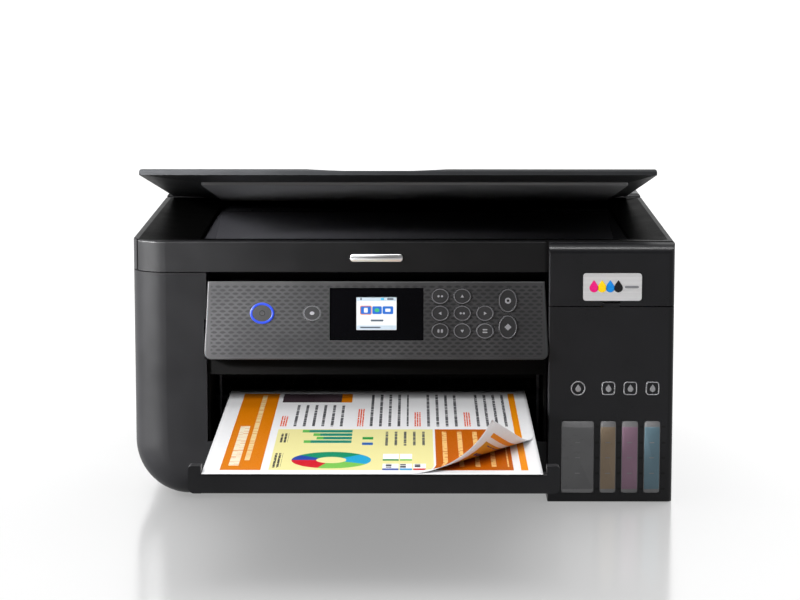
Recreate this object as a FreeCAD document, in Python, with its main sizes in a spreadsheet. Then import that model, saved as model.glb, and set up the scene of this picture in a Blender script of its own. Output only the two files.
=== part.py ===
"""Flatbed inkjet printer with refillable side tanks, in millimetres.

+X is to the printer's right as its user sees it, +Y towards its back and +Z up.  The
origin is on the table, under the middle of the printer with its paper tray pulled out.
Depths are counted back from the front of the scanner unit, the plane y = front.
"""
import FreeCAD, Part
import os
import re
from math import atan2, degrees
from FreeCAD import Placement, Rotation, Vector
from Sketcher import Constraint

DIMENSIONS = {
    # the whole printer
    "half_width": 187.5,
    "front": -57.5,
    "wall": 2.5,
    "skin": 1.5,
    "gap": 0.4,
    "bore_play": 0.05,
    "paper_middle": -17.5,
    # lower case
    "case_bottom": 1.2,
    "case_top": 160,
    "case_depth": 325,
    "column_right": -135.5,
    "corner_radius": 24,
    "belly_radius": 38,
    "chin_radius": 20,
    "deck_front": 272.6,
    "mouth_right": 100.6,
    "mouth_bottom": 41.5,
    "mouth_top": 88.5,
    "mouth_depth": 58,
    "strip_top": 99.5,
    "header_depth": 15,
    # ink tank unit
    "tank_left": 101,
    "tank_proud": 8,
    "tank_depth": 72,
    "tank_bottom": 0.8,
    "tank_edge_radius": 4,
    "tank_inner_radius": 1,
    "window_bottom": 6.7,
    "window_top": 57.8,
    "tank_height": 131,
    "door_split": 137.6,
    "door_bottom": 138.3,
    "door_depth": -0.4,
    "door_top": 181.5,
    "door_radius": 7,
    "door_pin_height": 139.4,
    "door_pin_inset": 1.2,
    "door_pin_radius": 0.7,
    "knuckle_left": 138,
    "knuckle_right": 150,
    "badge_left": 124.2,
    "badge_right": 164.9,
    "badge_bottom": 141.8,
    "badge_top": 161.3,
    "port_depth": 24.5,
    "port_radius": 4.6,
    "port_wall": 1.1,
    "port_top": 141,
    "cap_top": 146,
    "cap_front": 18.5,
    "cap_rear": 30.5,
    "cap_pin_depth": 33,
    "cap_pin_height": 143.5,
    "cap_pin_radius": 1.5,
    "cap_half_width": 5.2,
    "cap_eye_radius": 2.2,
    # control panel, in its own tilted frame: top edge at height 0, face at depth 0
    "panel_top": 154.4,
    "panel_top_proud": 2,
    "panel_bottom_proud": 10,
    "panel_bottom": 101,
    "panel_left": -134,
    "panel_right": 98.4,
    "panel_flare": 2.8,
    "panel_length": 54,
    "panel_thickness": 9,
    "panel_radius": 5,
    "panel_edge_radius": 0.8,
    "panel_pin_height": -8,
    "panel_pin_depth": 6.5,
    "panel_pin_radius": 1.6,
    "panel_window_left": -50.2,
    "panel_window_right": 14.7,
    "panel_window_bottom": -40.7,
    "panel_window_top": -4.4,
    "glazing": 1.2,
    "lcd_left": -31.6,
    "lcd_right": -3.3,
    "lcd_bottom": -34.8,
    "lcd_top": -11.1,
    "button_proud": 0.3,
    "button_play": 0.15,
    "button_width": 12.4,
    "button_height": 11,
    "power_width": 14.4,
    "power_height": 12.4,
    "tall_width": 13,
    "tall_height": 16.4,
    "flange_lip": 1.6,
    # scanner unit
    "scan_bottom": 160.7,
    "scan_top": 182.2,
    "scan_depth": 272,
    "band_right": 98.7,
    "seam_depth": 1.6,
    "hinge_width": 10,
    "hinge_reach": 6,
    "hinge_eye_radius": 4,
    "rim": 3,
    "rim_radius": 1.4,
    "bezel_foot": 179,
    "glass_left": -142.5,
    "glass_right": 159.5,
    "glass_front": 38,
    "glass_rear": 251,
    "glass_top": 177.5,
    "glass_thickness": 3,
    "pan_lip": 7.5,
    "scan_pin_height": 172,
    "scan_pin_radius": 2,
    "bar_width": 18,
    "bar_bottom": 163.6,
    "bar_top": 173.4,
    # document lid, drawn closed and turned open about its hinge
    "lid_left": -181.5,
    "lid_right": 175.5,
    "lid_front": 3,
    "lid_rear": 276,
    "lid_bottom": 182.8,
    "lid_top": 187,
    "lid_pin_depth": 274.5,
    "lid_pin_height": 183,
    "lid_pin_radius": 1.5,
    "lid_open": 9.42,
    "lid_edge_radius": 2,
    "keel_bottom": 179.8,
    "keel_inset": 40,
    "pad_bottom": 178.1,
    "scoop_width": 98,
    "scoop_depth": 1.6,
    "scoop_length": 20,
    # print engine
    "rod_depth": 125,
    "rod_height": 104,
    "rod_radius": 4,
    "engine_half_width": 184,
    "back_plate_depth": 160,
    "plate": 1.6,
    "frame_left": -131,
    "frame_right": 96,
    "carriage_left": 112,
    "carriage_right": 172,
    "carriage_front": 98,
    "carriage_rear": 148,
    "carriage_bottom": 86,
    "carriage_top": 124,
    "head_bottom": 78,
    "pulley_side": 168,
    "pulley_height": 112,
    "pulley_radius": 7,
    "pulley_bore": 2,
    "belt_front": 152,
    "belt_rear": 158,
    "belt_thickness": 1.2,
    "motor_radius": 15,
    "platen_left": -125,
    "platen_right": 90,
    "platen_front": 72,
    "platen_rear": 142,
    "platen_bottom": 58,
    "platen_top": 65,
    "feed_depth": 150,
    "feed_height": 61,
    "feed_radius": 6,
    "exit_depth": 66,
    "exit_height": 60.9,
    "exit_radius": 5.3,
    "shaft_radius": 2.5,
    "shaft_left": -140,
    "shaft_right": 99.5,
    "star_height": 72.4,
    "star_radius": 5,
    "pickup_depth": 303,
    "pickup_height": 84,
    "pickup_radius": 9,
    # paper tray, drawn in its sloping frame: height 0 on the upper face of its first stage
    "tray_slope": 3,
    "tray_rear": 60,
    "tray_rear_height": 45.1,
    "tray_left": -124,
    "tray_right": 89,
    "tray_plate": 2.4,
    "tray_split": 101.5,
    "tray_reach": 213,
    "tray_overlap": 80,
    "lip_reach": 224,
    "lip_left": -130.9,
    "lip_right": 97.8,
    "lip_drop": 5.6,
    "lip_rise": 6.4,
    "ear_rise": 11.4,
    "ear_width": 8,
    "lip_radius": 4,
    "ear_radius": 2,
    # sheet of A4 paper
    "paper_width": 210,
    "paper_bottom": 66.5,
    "paper_thickness": 0.4,
    "paper_front": 224,
    "paper_rear": 63,
    # rear paper feeder
    "feeder_front": 284.4,
    "feeder_rear": 332,
    "feeder_bottom": 160.3,
    "feeder_top": 184,
    "slot_left": -127.5,
    "slot_right": 92.5,
    "slot_front": 296,
    "slot_rear": 311,
    "slot_bottom": 95,
    "support_front": 316,
    "support_rear": 319,
    "support_bottom": 112,
    "support_left": -102,
    "support_right": 67,
    "guide_bottom": 120,
    "guide_inset": 3,
    "guard_thickness": 2.4,
    "guard_pin_depth": 292.5,
    "guard_pin_radius": 1.1,
    # sockets, boxes and small fittings
    "cover_left": -112,
    "cover_right": 92,
    "cover_bottom": 34,
    "cover_top": 106,
    "cover_rear": 339,
    "socket_rear": 325.4,
    "usb_left": -178,
    "usb_right": -164,
    "usb_bottom": 60,
    "usb_top": 72,
    "inlet_left": 140,
    "inlet_right": 166,
    "inlet_bottom": 20,
    "inlet_top": 44,
    "waste_left": -100,
    "waste_right": 60,
    "waste_front": 150,
    "waste_rear": 250,
    "waste_bottom": 5,
    "waste_top": 23,
    "foot_radius": 9,
    "foot_height": 2.6,
    "foot_side": 150,
    "foot_front": 40,
    "foot_rear": 290,
    "screw_radius": 3,
    "screw_side": 150,
    "screw_height": 145,
}

# left and right edge of each ink window, and the height of the ink behind it
WINDOWS = {
    "black": (110.3, 133.0, 52),
    "yellow": (137.0, 148.3, 50),
    "magenta": (151.9, 163.6, 47),
    "cyan": (167.4, 178.9, 49),
}

# middle of each button on the panel: distance right, height below the top edge
BUTTONS = {
    "power_button": (-96.7, -22.0, "power_width", "power_height"),
    "network_button": (-62.2, -21.9, "button_width", "button_height"),
    "home_button": (26.2, -10.2, "button_width", "button_height"),
    "up_button": (41.4, -10.2, "button_width", "button_height"),
    "left_button": (26.2, -21.9, "button_width", "button_height"),
    "ok_button": (41.4, -21.9, "button_width", "button_height"),
    "right_button": (57.1, -21.9, "button_width", "button_height"),
    "help_button": (26.2, -34.1, "button_width", "button_height"),
    "down_button": (41.4, -34.1, "button_width", "button_height"),
    "back_button": (57.1, -34.1, "button_width", "button_height"),
    "stop_button": (72.9, -13.2, "tall_width", "tall_height"),
    "start_button": (72.9, -31.4, "tall_width", "tall_height"),
}

# left side of each bracket that the scanner unit swings on
HINGE_PLACES = (-92, 82)

document = FreeCAD.newDocument("inkjet_printer")
sheet = document.addObject("Spreadsheet::Sheet", "dims")
ALONG = {
    "x": Rotation(Vector(0, 1, 0), 90),
    "y": Rotation(Vector(1, 0, 0), -90),
    "z": Rotation(),
}
parts = []


def fill_sheet():
    for row, (name, size) in enumerate(DIMENSIONS.items(), start=1):
        sheet.set(f"A{row}", name)
        sheet.set(f"B{row}", str(size))
        sheet.setAlias(f"B{row}", name)
    document.recompute()


def value(name):
    """The number that the sheet holds under a name."""
    return float(sheet.get(name))


def bind(thing, attribute, formula):
    """Bind a property to a formula that uses the sheet's names."""
    thing.setExpression(attribute, re.sub(r"([a-z]\w+)", r"dims.\1", str(formula)))


def block(x, y, z):
    """A box given by two formulas along each axis."""
    solid = document.addObject("Part::Box", "block")
    sizes = zip(("Length", "Width", "Height"), "xyz", (x, y, z))
    for size, axis, (low, high) in sizes:
        bind(solid, size, f"({high}) - ({low})")
        bind(solid, f"Placement.Base.{axis}", low)
    return solid


def rod(axis, middle, span, radius):
    """A round bar along x, y or z.  middle gives the other two coordinates."""
    solid = document.addObject("Part::Cylinder", "rod")
    solid.Placement = Placement(Vector(), ALONG[axis])
    for name, formula in zip("xyz".replace(axis, ""), middle):
        bind(solid, f"Placement.Base.{name}", formula)
    bind(solid, f"Placement.Base.{axis}", span[0])
    bind(solid, "Height", f"({span[1]}) - ({span[0]})")
    bind(solid, "Radius", radius)
    return solid


def oval(x, z, width, height, depths):
    """An elliptical peg along y, with its middle at x, z."""
    tall = value(height.split()[0]) > value(width.split()[0])
    radii = (height, width) if tall else (width, height)
    outline = document.addObject("Part::Ellipse", "outline")
    upright = Rotation(Vector(1, 0, 0), 90)
    outline.Placement.Rotation = upright * Rotation(Vector(0, 0, 1), 90 if tall else 0)
    bind(outline, "MajorRadius", f"({radii[0]}) / 2")
    bind(outline, "MinorRadius", f"({radii[1]}) / 2")
    bind(outline, "Placement.Base.x", x)
    bind(outline, "Placement.Base.y", depths[0])
    bind(outline, "Placement.Base.z", z)
    peg = document.addObject("Part::Extrusion", "peg")
    peg.Base = outline
    peg.DirMode = "Custom"
    peg.Dir = Vector(0, 1, 0)
    peg.Solid = True
    bind(peg, "LengthFwd", f"({depths[1]}) - ({depths[0]})")
    return peg


def frustum(foot, top, z):
    """A block whose foot and top are different rectangles, each (x, x, y, y)."""
    solid = document.addObject("Part::Wedge", "frustum")
    solid.Placement.Rotation = Rotation(Vector(1, 0, 0), 90)
    bind(solid, "Ymin", z[0])
    bind(solid, "Ymax", z[1])
    for mark, (left, right, near, far) in (("", foot), ("2", top)):
        bind(solid, f"X{mark}min", left)
        bind(solid, f"X{mark}max", right)
        bind(solid, f"Z{mark}min", f"-({far})")
        bind(solid, f"Z{mark}max", f"-({near})")
    return solid


def together(*pieces):
    """Pieces that touch and stay separate solids."""
    result = document.addObject("Part::Compound", "together")
    result.Links = list(pieces)
    return result


def join(*pieces):
    result = document.addObject("Part::MultiFuse", "join")
    result.Shapes = list(pieces)
    result.Refine = True
    return result


def cut(base, *tools):
    result = document.addObject("Part::Cut", "cut")
    result.Base = base
    result.Tool = tools[0] if len(tools) == 1 else join(*tools)
    return result


def rounded(base, picks):
    """Fillet edges.  Each pick is (direction, {axis: place}, radius)."""
    document.recompute()
    found = []
    for axis, places, radius in picks:
        run = Vector(*[float(axis == name) for name in "xyz"])
        for number, edge in enumerate(base.Shape.Edges, start=1):
            ends = [vertex.Point for vertex in edge.Vertexes]
            if len(ends) < 2:
                continue
            chord = (ends[1] - ends[0]).normalize()
            middle = (ends[0] + ends[1]) / 2
            near = all(abs(getattr(middle, k) - v) < 0.01 for k, v in places.items())
            if near and abs(abs(chord.dot(run)) - 1) < 0.001:
                found.append((number, radius, radius))
    result = document.addObject("Part::Fillet", "rounded")
    result.Base = base
    result.Edges = found
    return result


def softened(base, test, radius):
    """Fillet every edge whose bounding box passes a test."""
    document.recompute()
    found = [
        (number, radius, radius)
        for number, edge in enumerate(base.Shape.Edges, start=1)
        if test(edge.BoundBox)
    ]
    result = document.addObject("Part::Fillet", "softened")
    result.Base = base
    result.Edges = found
    return result


def padded(label, plane, corners, span):
    """A body padded from a sketch of straight lines between formula corners."""
    body = document.addObject("PartDesign::Body", label)
    drawing = body.newObject("Sketcher::SketchObject", "outline")
    flat = [one for one in body.Origin.OriginFeatures if one.Role == plane][0]
    drawing.AttachmentSupport = [(flat, "")]
    drawing.MapMode = "FlatFace"
    bind(drawing, "AttachmentOffset.Base.z", span[0])
    count = len(corners)
    for index in range(count):
        drawing.addGeometry(Part.LineSegment(Vector(index, 0, 0), Vector(index + 1, 1, 0)))
    for index in range(count):
        drawing.addConstraint(Constraint("Coincident", index, 2, (index + 1) % count, 1))
    for index, corner in enumerate(corners):
        for kind, formula in zip(("DistanceX", "DistanceY"), corner):
            number = drawing.addConstraint(Constraint(kind, -1, 1, index, 1, 1))
            bind(drawing, f"Constraints[{number}]", formula)
    pad = body.newObject("PartDesign::Pad", "pad")
    pad.Profile = drawing
    bind(pad, "Length", f"({span[1]}) - ({span[0]})")
    document.recompute()
    return body


def finish(label, solid, placement=None):
    """Name a sub-part and set where it stands."""
    solid.Label = label
    if placement:
        solid.Placement = placement
    parts.append(solid)


def back(depth):
    """The y of a place that lies this far behind the front."""
    return f"front + {depth}"


def behind(near, far):
    """A span along y between two depths behind the front."""
    return back(near), back(far)


def panel_placement():
    lean = value("panel_bottom_proud") - value("panel_top_proud")
    rise = value("panel_top") - value("panel_bottom")
    top = Vector(0, value("front") - value("panel_top_proud"), value("panel_top"))
    return Placement(top, Rotation(Vector(1, 0, 0), -degrees(atan2(lean, rise))))


def lid_placement():
    pin = Vector(0, value("front") + value("lid_pin_depth"), value("lid_pin_height"))
    return Placement(Vector(), Rotation(Vector(1, 0, 0), -value("lid_open")), pin)


def tray_placement():
    rear_edge = Vector(0, value("front") + value("tray_rear"), value("tray_rear_height"))
    return Placement(rear_edge, Rotation(Vector(1, 0, 0), -value("tray_slope")))


def case_solid(inset):
    """The rounded outer form of the lower case, or its hollow one wall inside."""
    sides = (f"-half_width + {inset}", f"half_width - {inset}")
    depths = (back(inset), f"front + case_depth - {inset}")
    over = "case_top + 5" if inset else "case_top"
    form = block(sides, depths, (f"case_bottom + {inset}", over))
    thick = value("wall") if inset else 0
    left = -value("half_width") + thick
    near = value("front") + thick
    low = value("case_bottom") + thick
    picks = [
        ("z", {"x": left, "y": near}, value("corner_radius") - thick),
        ("y", {"x": left, "z": low}, value("belly_radius") - thick),
        ("x", {"y": near, "z": low}, value("chin_radius") - thick),
    ]
    return rounded(form, picks)


def make_lower_case():
    shell = cut(case_solid(0), case_solid("wall"))
    mouth = block(
        ("column_right", "tank_left"), behind(-1, "wall + 1"), ("mouth_bottom", "case_top + 1")
    )
    bay = block(
        ("tank_left - gap", "half_width + 1"),
        behind(-1, "tank_depth + gap"),
        ("0", "case_top + 1"),
    )
    flare_room = block(
        ("panel_left - panel_flare - gap", "column_right + 1"),
        behind(-1, "6"),
        ("panel_bottom - 1", "panel_bottom + 27"),
    )
    rear = behind("case_depth - wall - 1", "case_depth + 1")
    usb = block(("usb_left - gap", "usb_right + gap"), rear, ("usb_bottom - gap", "usb_top + gap"))
    inlet = block(
        ("inlet_left - gap", "inlet_right + gap"), rear, ("inlet_bottom - gap", "inlet_top + gap")
    )
    hatch = block(
        ("cover_left + 5", "cover_right - 5"), rear, ("cover_bottom + 5", "cover_top - 5")
    )
    deck = block(
        ("-half_width + wall", "half_width - wall"),
        behind("deck_front", "feeder_front - gap"),
        ("case_top - wall", "case_top"),
    )
    pockets = [
        rod("z", (x, back(depth)), ("0", "foot_height - gap"), "foot_radius + gap")
        for x, depth in foot_places()
    ]
    finish("lower_case", join(cut(shell, mouth, flare_room, bay, usb, inlet, hatch, *pockets), deck))


def foot_places():
    return [
        ("-foot_side + 15", "foot_front"),
        ("foot_side - 25", "tank_depth + 20"),
        ("-foot_side + 15", "foot_rear"),
        ("foot_side", "foot_rear"),
    ]


def make_feet():
    pads = [
        rod("z", (x, back(depth)), ("0", "foot_height - gap"), "foot_radius")
        for x, depth in foot_places()
    ]
    finish("feet", join(*pads))


def make_front_frame():
    sides = ("column_right + gap", "mouth_right - gap")
    header = block(sides, behind("header_depth", "header_depth + wall"), ("mouth_top", "case_top - 2"))
    strip = block(sides, behind("wall", "header_depth + wall"), ("mouth_top", "strip_top"))
    ceiling = block(sides, behind("header_depth", "mouth_depth"), ("mouth_top", "mouth_top + skin"))
    liner = behind("wall + gap", "mouth_depth")
    heights = ("mouth_bottom", "mouth_top")
    left = block(("column_right + gap", "column_right + gap + skin"), liner, heights)
    right = block(("mouth_right - gap - skin", "mouth_right - gap"), liner, heights)
    finish("front_frame", join(header, strip, ceiling, left, right, *panel_brackets()))


def panel_brackets():
    """Two arms that hold the panel's hinge pin, drawn in the panel's frame."""
    arms = []
    for x in ("panel_left + 22", "panel_right - 10"):
        width = (x, f"{x} + 4")
        middle = ("panel_pin_depth", "panel_pin_height")
        eye = rod("x", middle, width, "panel_pin_radius * 2")
        arm = block(
            width,
            ("panel_pin_depth", "header_depth + 5"),
            ("panel_pin_height - 3", "panel_pin_height + 1"),
        )
        hole = rod("x", middle, width, "panel_pin_radius + bore_play")
        arm = cut(join(eye, arm), hole)
        arm.Placement = panel_placement()
        arms.append(arm)
    return arms


def make_tank_case():
    outer = block(
        ("tank_left", "half_width"),
        behind("-tank_proud", "tank_depth"),
        ("tank_bottom", "door_split"),
    )
    near = value("front") - value("tank_proud")
    edges = [
        ("z", {"x": value("half_width"), "y": near}, value("tank_edge_radius")),
        ("z", {"x": value("tank_left"), "y": near}, value("tank_inner_radius")),
    ]
    hollow = block(
        ("tank_left + wall", "half_width - wall"),
        behind("wall - tank_proud", "tank_depth - wall"),
        ("tank_bottom + wall", "door_split + 1"),
    )
    windows = [
        block(
            (left, right),
            behind("-tank_proud - 1", "wall - tank_proud + 1"),
            ("window_bottom", "window_top"),
        )
        for left, right, level in WINDOWS.values()
    ]
    cheek = block(
        ("half_width - wall", "half_width"),
        behind("door_depth + 0.6", "tank_depth"),
        ("door_split - 1", "case_top"),
    )
    finish("tank_case", join(cut(rounded(outer, edges), hollow, *windows), cheek, *door_knuckle()))


def door_knuckle():
    """The lug and pin that the tank door swings on."""
    middle = (back("door_pin_inset - tank_proud"), "door_pin_height")
    lug = block(
        ("knuckle_left + gap", "knuckle_right - gap"),
        behind("gap - tank_proud", "wall - tank_proud - 0.1"),
        ("door_split - 1", "door_pin_height + 0.8"),
    )
    pin = rod("x", middle, ("knuckle_left - 4", "knuckle_right + 4"), "door_pin_radius")
    return lug, pin


def make_tank_cover():
    outer = block(
        ("tank_left", "half_width"),
        behind("-tank_proud", "door_depth"),
        ("door_bottom", "door_top"),
    )
    near = value("front") - value("tank_proud")
    edges = [
        ("x", {"y": near, "z": value("door_top")}, value("door_radius")),
        ("z", {"x": value("half_width"), "y": near}, value("tank_edge_radius")),
        ("z", {"x": value("tank_left"), "y": near}, value("tank_inner_radius")),
    ]
    hollow = block(
        ("tank_left + wall", "half_width - wall"),
        behind("wall - tank_proud", "door_depth + 1"),
        ("door_bottom - 1", "door_top - wall"),
    )
    inner_corner = {"y": near + value("wall"), "z": value("door_top") - value("wall")}
    corner = rounded(hollow, [("x", inner_corner, value("door_radius") - value("wall"))])
    notch = block(
        ("knuckle_left", "knuckle_right"),
        behind("-tank_proud - 1", "wall - tank_proud + 1"),
        ("door_bottom - 1", "door_pin_height + 1.7"),
    )
    middle = (back("door_pin_inset - tank_proud"), "door_pin_height")
    bore = rod("x", middle, ("knuckle_left - 4.5", "knuckle_right + 4.5"), "door_pin_radius + bore_play")
    seat = block(
        ("badge_left", "badge_right"),
        behind("-tank_proud - 1", "0.6 - tank_proud"),
        ("badge_bottom", "badge_top"),
    )
    finish("tank_cover", cut(rounded(outer, edges), corner, notch, bore, seat))


def make_badge_plate():
    plate = block(
        ("badge_left + 0.2", "badge_right - 0.2"),
        behind("-tank_proud - 0.3", "0.6 - tank_proud"),
        ("badge_bottom + 0.2", "badge_top - 0.2"),
    )
    near = value("front") - value("tank_proud") - 0.3
    sides = [value("badge_left") + 0.2, value("badge_right") - 0.2]
    ends = [value("badge_bottom") + 0.2, value("badge_top") - 0.2]
    edges = [("y", {"x": x, "z": z}, 2) for x in sides for z in ends]
    finish("badge_plate", rounded(plate, edges))


def tank(left, right):
    """One hollow ink tank with its window and the hole in its top."""
    shell = block(
        (f"{left} - 1.2", f"{right} + 1.2"),
        behind("wall - tank_proud + 0.1", "tank_depth - 8"),
        ("window_bottom - 2", "tank_height"),
    )
    boss = block(
        (f"{left} + 0.2", f"{right} - 0.2"), behind("0.5 - tank_proud", "wall - tank_proud + 0.2"),
        ("window_bottom + 0.2", "window_top - 0.2"),
    )
    hollow = tank_hollow(left, right, "tank_height - skin", "window_top - skin")
    throat = rod(
        "z",
        (f"({left} + {right}) / 2", back("port_depth")),
        ("tank_height - 3", "tank_height + 1"),
        "port_radius - port_wall",
    )
    return cut(join(shell, boss), hollow, throat)


def neck(left, right):
    """The neck that a tank is filled through, with the lug that its cap swings on."""
    middle = f"({left} + {right}) / 2"
    port = rod("z", (middle, back("port_depth")), ("tank_height", "port_top"), "port_radius")
    width = (f"{middle} - 2", f"{middle} + 2")
    eye = rod("x", (back("cap_pin_depth"), "cap_pin_height"), width, "cap_eye_radius")
    stem = block(
        width,
        behind("cap_pin_depth - cap_eye_radius", "cap_pin_depth + cap_eye_radius"),
        ("tank_height", "cap_pin_height"),
    )
    foot = block(
        width, behind("port_depth", "cap_pin_depth"), ("tank_height", "tank_height + skin")
    )
    throat = rod(
        "z",
        (middle, back("port_depth")),
        ("tank_height - 1", "port_top + 1"),
        "port_radius - port_wall",
    )
    pin_hole = rod(
        "x",
        (back("cap_pin_depth"), "cap_pin_height"),
        (left, right),
        "cap_pin_radius + bore_play",
    )
    return cut(join(port, eye, stem, foot), throat, pin_hole)


def tank_hollow(left, right, top, pane_top, play="0"):
    """The space inside a tank: its main room and the shallow one behind its window."""
    room = block(
        (f"{left} - 1.2 + skin + {play}", f"{right} + 1.2 - skin - {play}"),
        behind(f"wall - tank_proud + skin + {play}", f"tank_depth - 8 - skin - {play}"),
        (f"window_bottom - 2 + skin + {play}", top),
    )
    pane = block(
        (f"{left} + skin + {play}", f"{right} - skin - {play}"),
        behind(f"skin + 0.5 - tank_proud + {play}", f"wall - tank_proud + skin + 1"),
        (f"window_bottom + skin + {play}", pane_top),
    )
    return join(room, pane)


def make_tanks():
    finish("black_tank", tank(*WINDOWS["black"][:2]))
    colors = [tank(*WINDOWS[ink][:2]) for ink in ("yellow", "magenta", "cyan")]
    finish("color_tanks", join(*colors))
    inks = [tank_hollow(left, right, level, level, "0.1") for left, right, level in WINDOWS.values()]
    finish("ink_fill", join(*inks))
    finish("fill_necks", join(*[neck(left, right) for left, right, level in WINDOWS.values()]))


def make_cap(ink):
    left, right, level = WINDOWS[ink]
    middle = (left + right) / 2
    sides = (f"{middle} - cap_half_width", f"{middle} + cap_half_width")
    lid = block(sides, behind("cap_front", "cap_rear"), ("port_top + 0.3", "cap_top"))
    pin = rod("x", (back("cap_pin_depth"), "cap_pin_height"), sides, "cap_pin_radius")
    arms = [
        block(
            side,
            behind("cap_rear - 1", "cap_pin_depth"),
            ("cap_pin_height - 1.2", "cap_pin_height + 1.2"),
        )
        for side in ((sides[0], f"{middle} - 2.5"), (f"{middle} + 2.5", sides[1]))
    ]
    finish(f"cap_{ink}", join(lid, pin, *arms))


def make_control_panel():
    flare = "panel_flare"
    plate = frustum(
        (f"panel_left - {flare}", f"panel_right + {flare}", "0", "panel_thickness"),
        ("panel_left", "panel_right", "0", "panel_thickness"),
        ("-panel_length", "0"),
    )
    length = -value("panel_length")
    document.recompute()
    bottoms = [number for number, edge in enumerate(plate.Shape.Edges, start=1)
               if edge.Length < value("panel_thickness") + 1 and abs(edge.CenterOfMass.z - length) < 0.1]
    soft = document.addObject("Part::Fillet", "soft")
    soft.Base = plate
    soft.Edges = [(number, value("panel_radius"), value("panel_radius")) for number in bottoms]
    soft = softened(soft, lambda box: box.YMax < 0.1, value("panel_edge_radius"))
    hollow = block(
        ("panel_left + wall", "panel_right - wall"),
        ("wall", "panel_thickness + 1"),
        ("wall * 2 - panel_length", "-wall"),
    )
    seat = block(
        ("panel_window_left", "panel_window_right"),
        ("-1", "glazing"),
        ("panel_window_bottom", "panel_window_top"),
    )
    holes = [
        oval(x, z, f"{width} + button_play * 2", f"{height} + button_play * 2", ("-1", "wall + 1"))
        for x, z, width, height in BUTTONS.values()
    ]
    pin = rod(
        "x",
        ("panel_pin_depth", "panel_pin_height"),
        ("panel_left + 1", "panel_right - 1"),
        "panel_pin_radius",
    )
    finish("control_panel", join(cut(soft, hollow, seat, *holes), pin), panel_placement())


def make_panel_window():
    glazing = block(
        ("panel_window_left + 0.1", "panel_window_right - 0.1"), ("0.05", "glazing"),
        ("panel_window_bottom + 0.1", "panel_window_top - 0.1"),
    )
    opening = block(("lcd_left", "lcd_right"), ("0", "glazing + 1"), ("lcd_bottom", "lcd_top"))
    finish("panel_window", cut(glazing, opening), panel_placement())
    screen = block(("lcd_left", "lcd_right"), ("0.1", "glazing"), ("lcd_bottom", "lcd_top"))
    sides = [value("lcd_left"), value("lcd_right")]
    corners = [("y", {"x": x, "z": value(z)}, 0.4) for x in sides for z in ("lcd_bottom", "lcd_top")]
    finish("lcd_screen", rounded(screen, corners), panel_placement())


def make_button(name):
    x, z, width, height = BUTTONS[name]
    cap = oval(x, z, width, height, ("-button_proud", "wall + 0.6"))
    flange = oval(x, z, f"{width} + flange_lip", f"{height} - flange_lip / 2", ("wall + 0.3", "wall + 1.3"))
    finish(name, join(cap, flange), panel_placement())


def scanner_outline(inset):
    """Corners of the scanner unit's plan."""
    left = f"-half_width + {inset}"
    right = f"half_width - {inset}"
    far = f"front + scan_depth - {inset}"
    return [(left, back(inset)), (right, back(inset)), (right, far), (left, far)]


def scanner_form(inset, heights):
    """The scanner unit's plan raised between two heights, its left corner rounded."""
    form = padded("form", "XY_Plane", scanner_outline(inset), heights)
    thick = value("wall") if inset else 0
    corner = {"x": -value("half_width") + thick, "y": value("front") + thick}
    return rounded(form, [("z", corner, value("corner_radius") - thick)])


def make_scanner_frame():
    form = scanner_form(0, ("scan_bottom", "scan_top"))
    form = softened(form, lambda box: box.ZMin > value("scan_top") - 0.1, value("rim_radius"))
    hollow = scanner_form("wall", ("scan_bottom - 1", "glass_top"))
    bezel = frustum(
        ("glass_left", "glass_right", back("glass_front"), back("glass_rear")),
        ("rim - half_width", "half_width - rim", back("rim"), back("scan_depth - rim")),
        ("bezel_foot", "scan_top"),
    )
    opening = block(
        ("glass_left", "glass_right"),
        behind("glass_front", "glass_rear"),
        ("glass_top - 1", "bezel_foot + 0.1"),
    )
    seam = block(("band_right", "tank_left"), behind(-1, "seam_depth"), ("scan_bottom - 1", "scan_top + 1"))
    lugs = []
    for x in ("-120", "112"):
        lug = block(
            (x, f"{x} + 8"),
            behind("scan_depth - 0.5", "lid_pin_depth + 2.4"),
            ("scan_top - 8", "lid_pin_height + 1.8"),
        )
        hole = rod(
            "x",
            (back("lid_pin_depth"), "lid_pin_height"),
            (x, f"{x} + 8"),
            "lid_pin_radius + bore_play",
        )
        lugs.append(cut(lug, hole))
    pockets = []
    for x in HINGE_PLACES:
        pockets.append(
            block(
                (f"{x} - gap", f"{x} + hinge_width + gap"),
                behind("scan_depth - hinge_eye_radius - gap", "scan_depth + hinge_eye_radius + 1"),
                ("scan_bottom - 1", "scan_pin_height + hinge_eye_radius + gap"),
            )
        )
        eyes = rod(
            "x",
            (back("scan_depth"), "scan_pin_height"),
            (f"{x} - hinge_reach", f"{x} + hinge_width + hinge_reach"),
            "hinge_eye_radius",
        )
        pockets.append(
            rod(
                "x",
                (back("scan_depth"), "scan_pin_height"),
                (f"{x} - hinge_reach - 1", f"{x} + hinge_width + hinge_reach + 1"),
                "scan_pin_radius + bore_play",
            )
        )
        lugs.append(eyes)
    shell = cut(form, hollow, bezel, opening, seam)
    finish("scanner_frame", cut(join(shell, *lugs), *pockets))


def make_scanner_hinges():
    """Two brackets on the rear deck whose pins the scanner unit swings on."""
    brackets = []
    for x in HINGE_PLACES:
        width = (x, f"{x} + hinge_width")
        middle = (back("scan_depth"), "scan_pin_height")
        eye = rod("x", middle, width, "hinge_eye_radius")
        arm = block(
            width,
            behind("scan_depth", "scan_depth + hinge_eye_radius + 4"),
            ("case_top", "scan_pin_height - 1"),
        )
        foot = block(
            (f"{x} - 4", f"{x} + hinge_width + 4"),
            behind("scan_depth + 3", "feeder_front - 1"),
            ("case_top", "case_top + 2"),
        )
        reach = (f"{x} - hinge_reach + 0.5", f"{x} + hinge_width + hinge_reach - 0.5")
        pin = rod("x", middle, reach, "scan_pin_radius")
        brackets.append(join(eye, arm, foot, pin))
    finish("scanner_hinges", join(*brackets))


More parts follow.
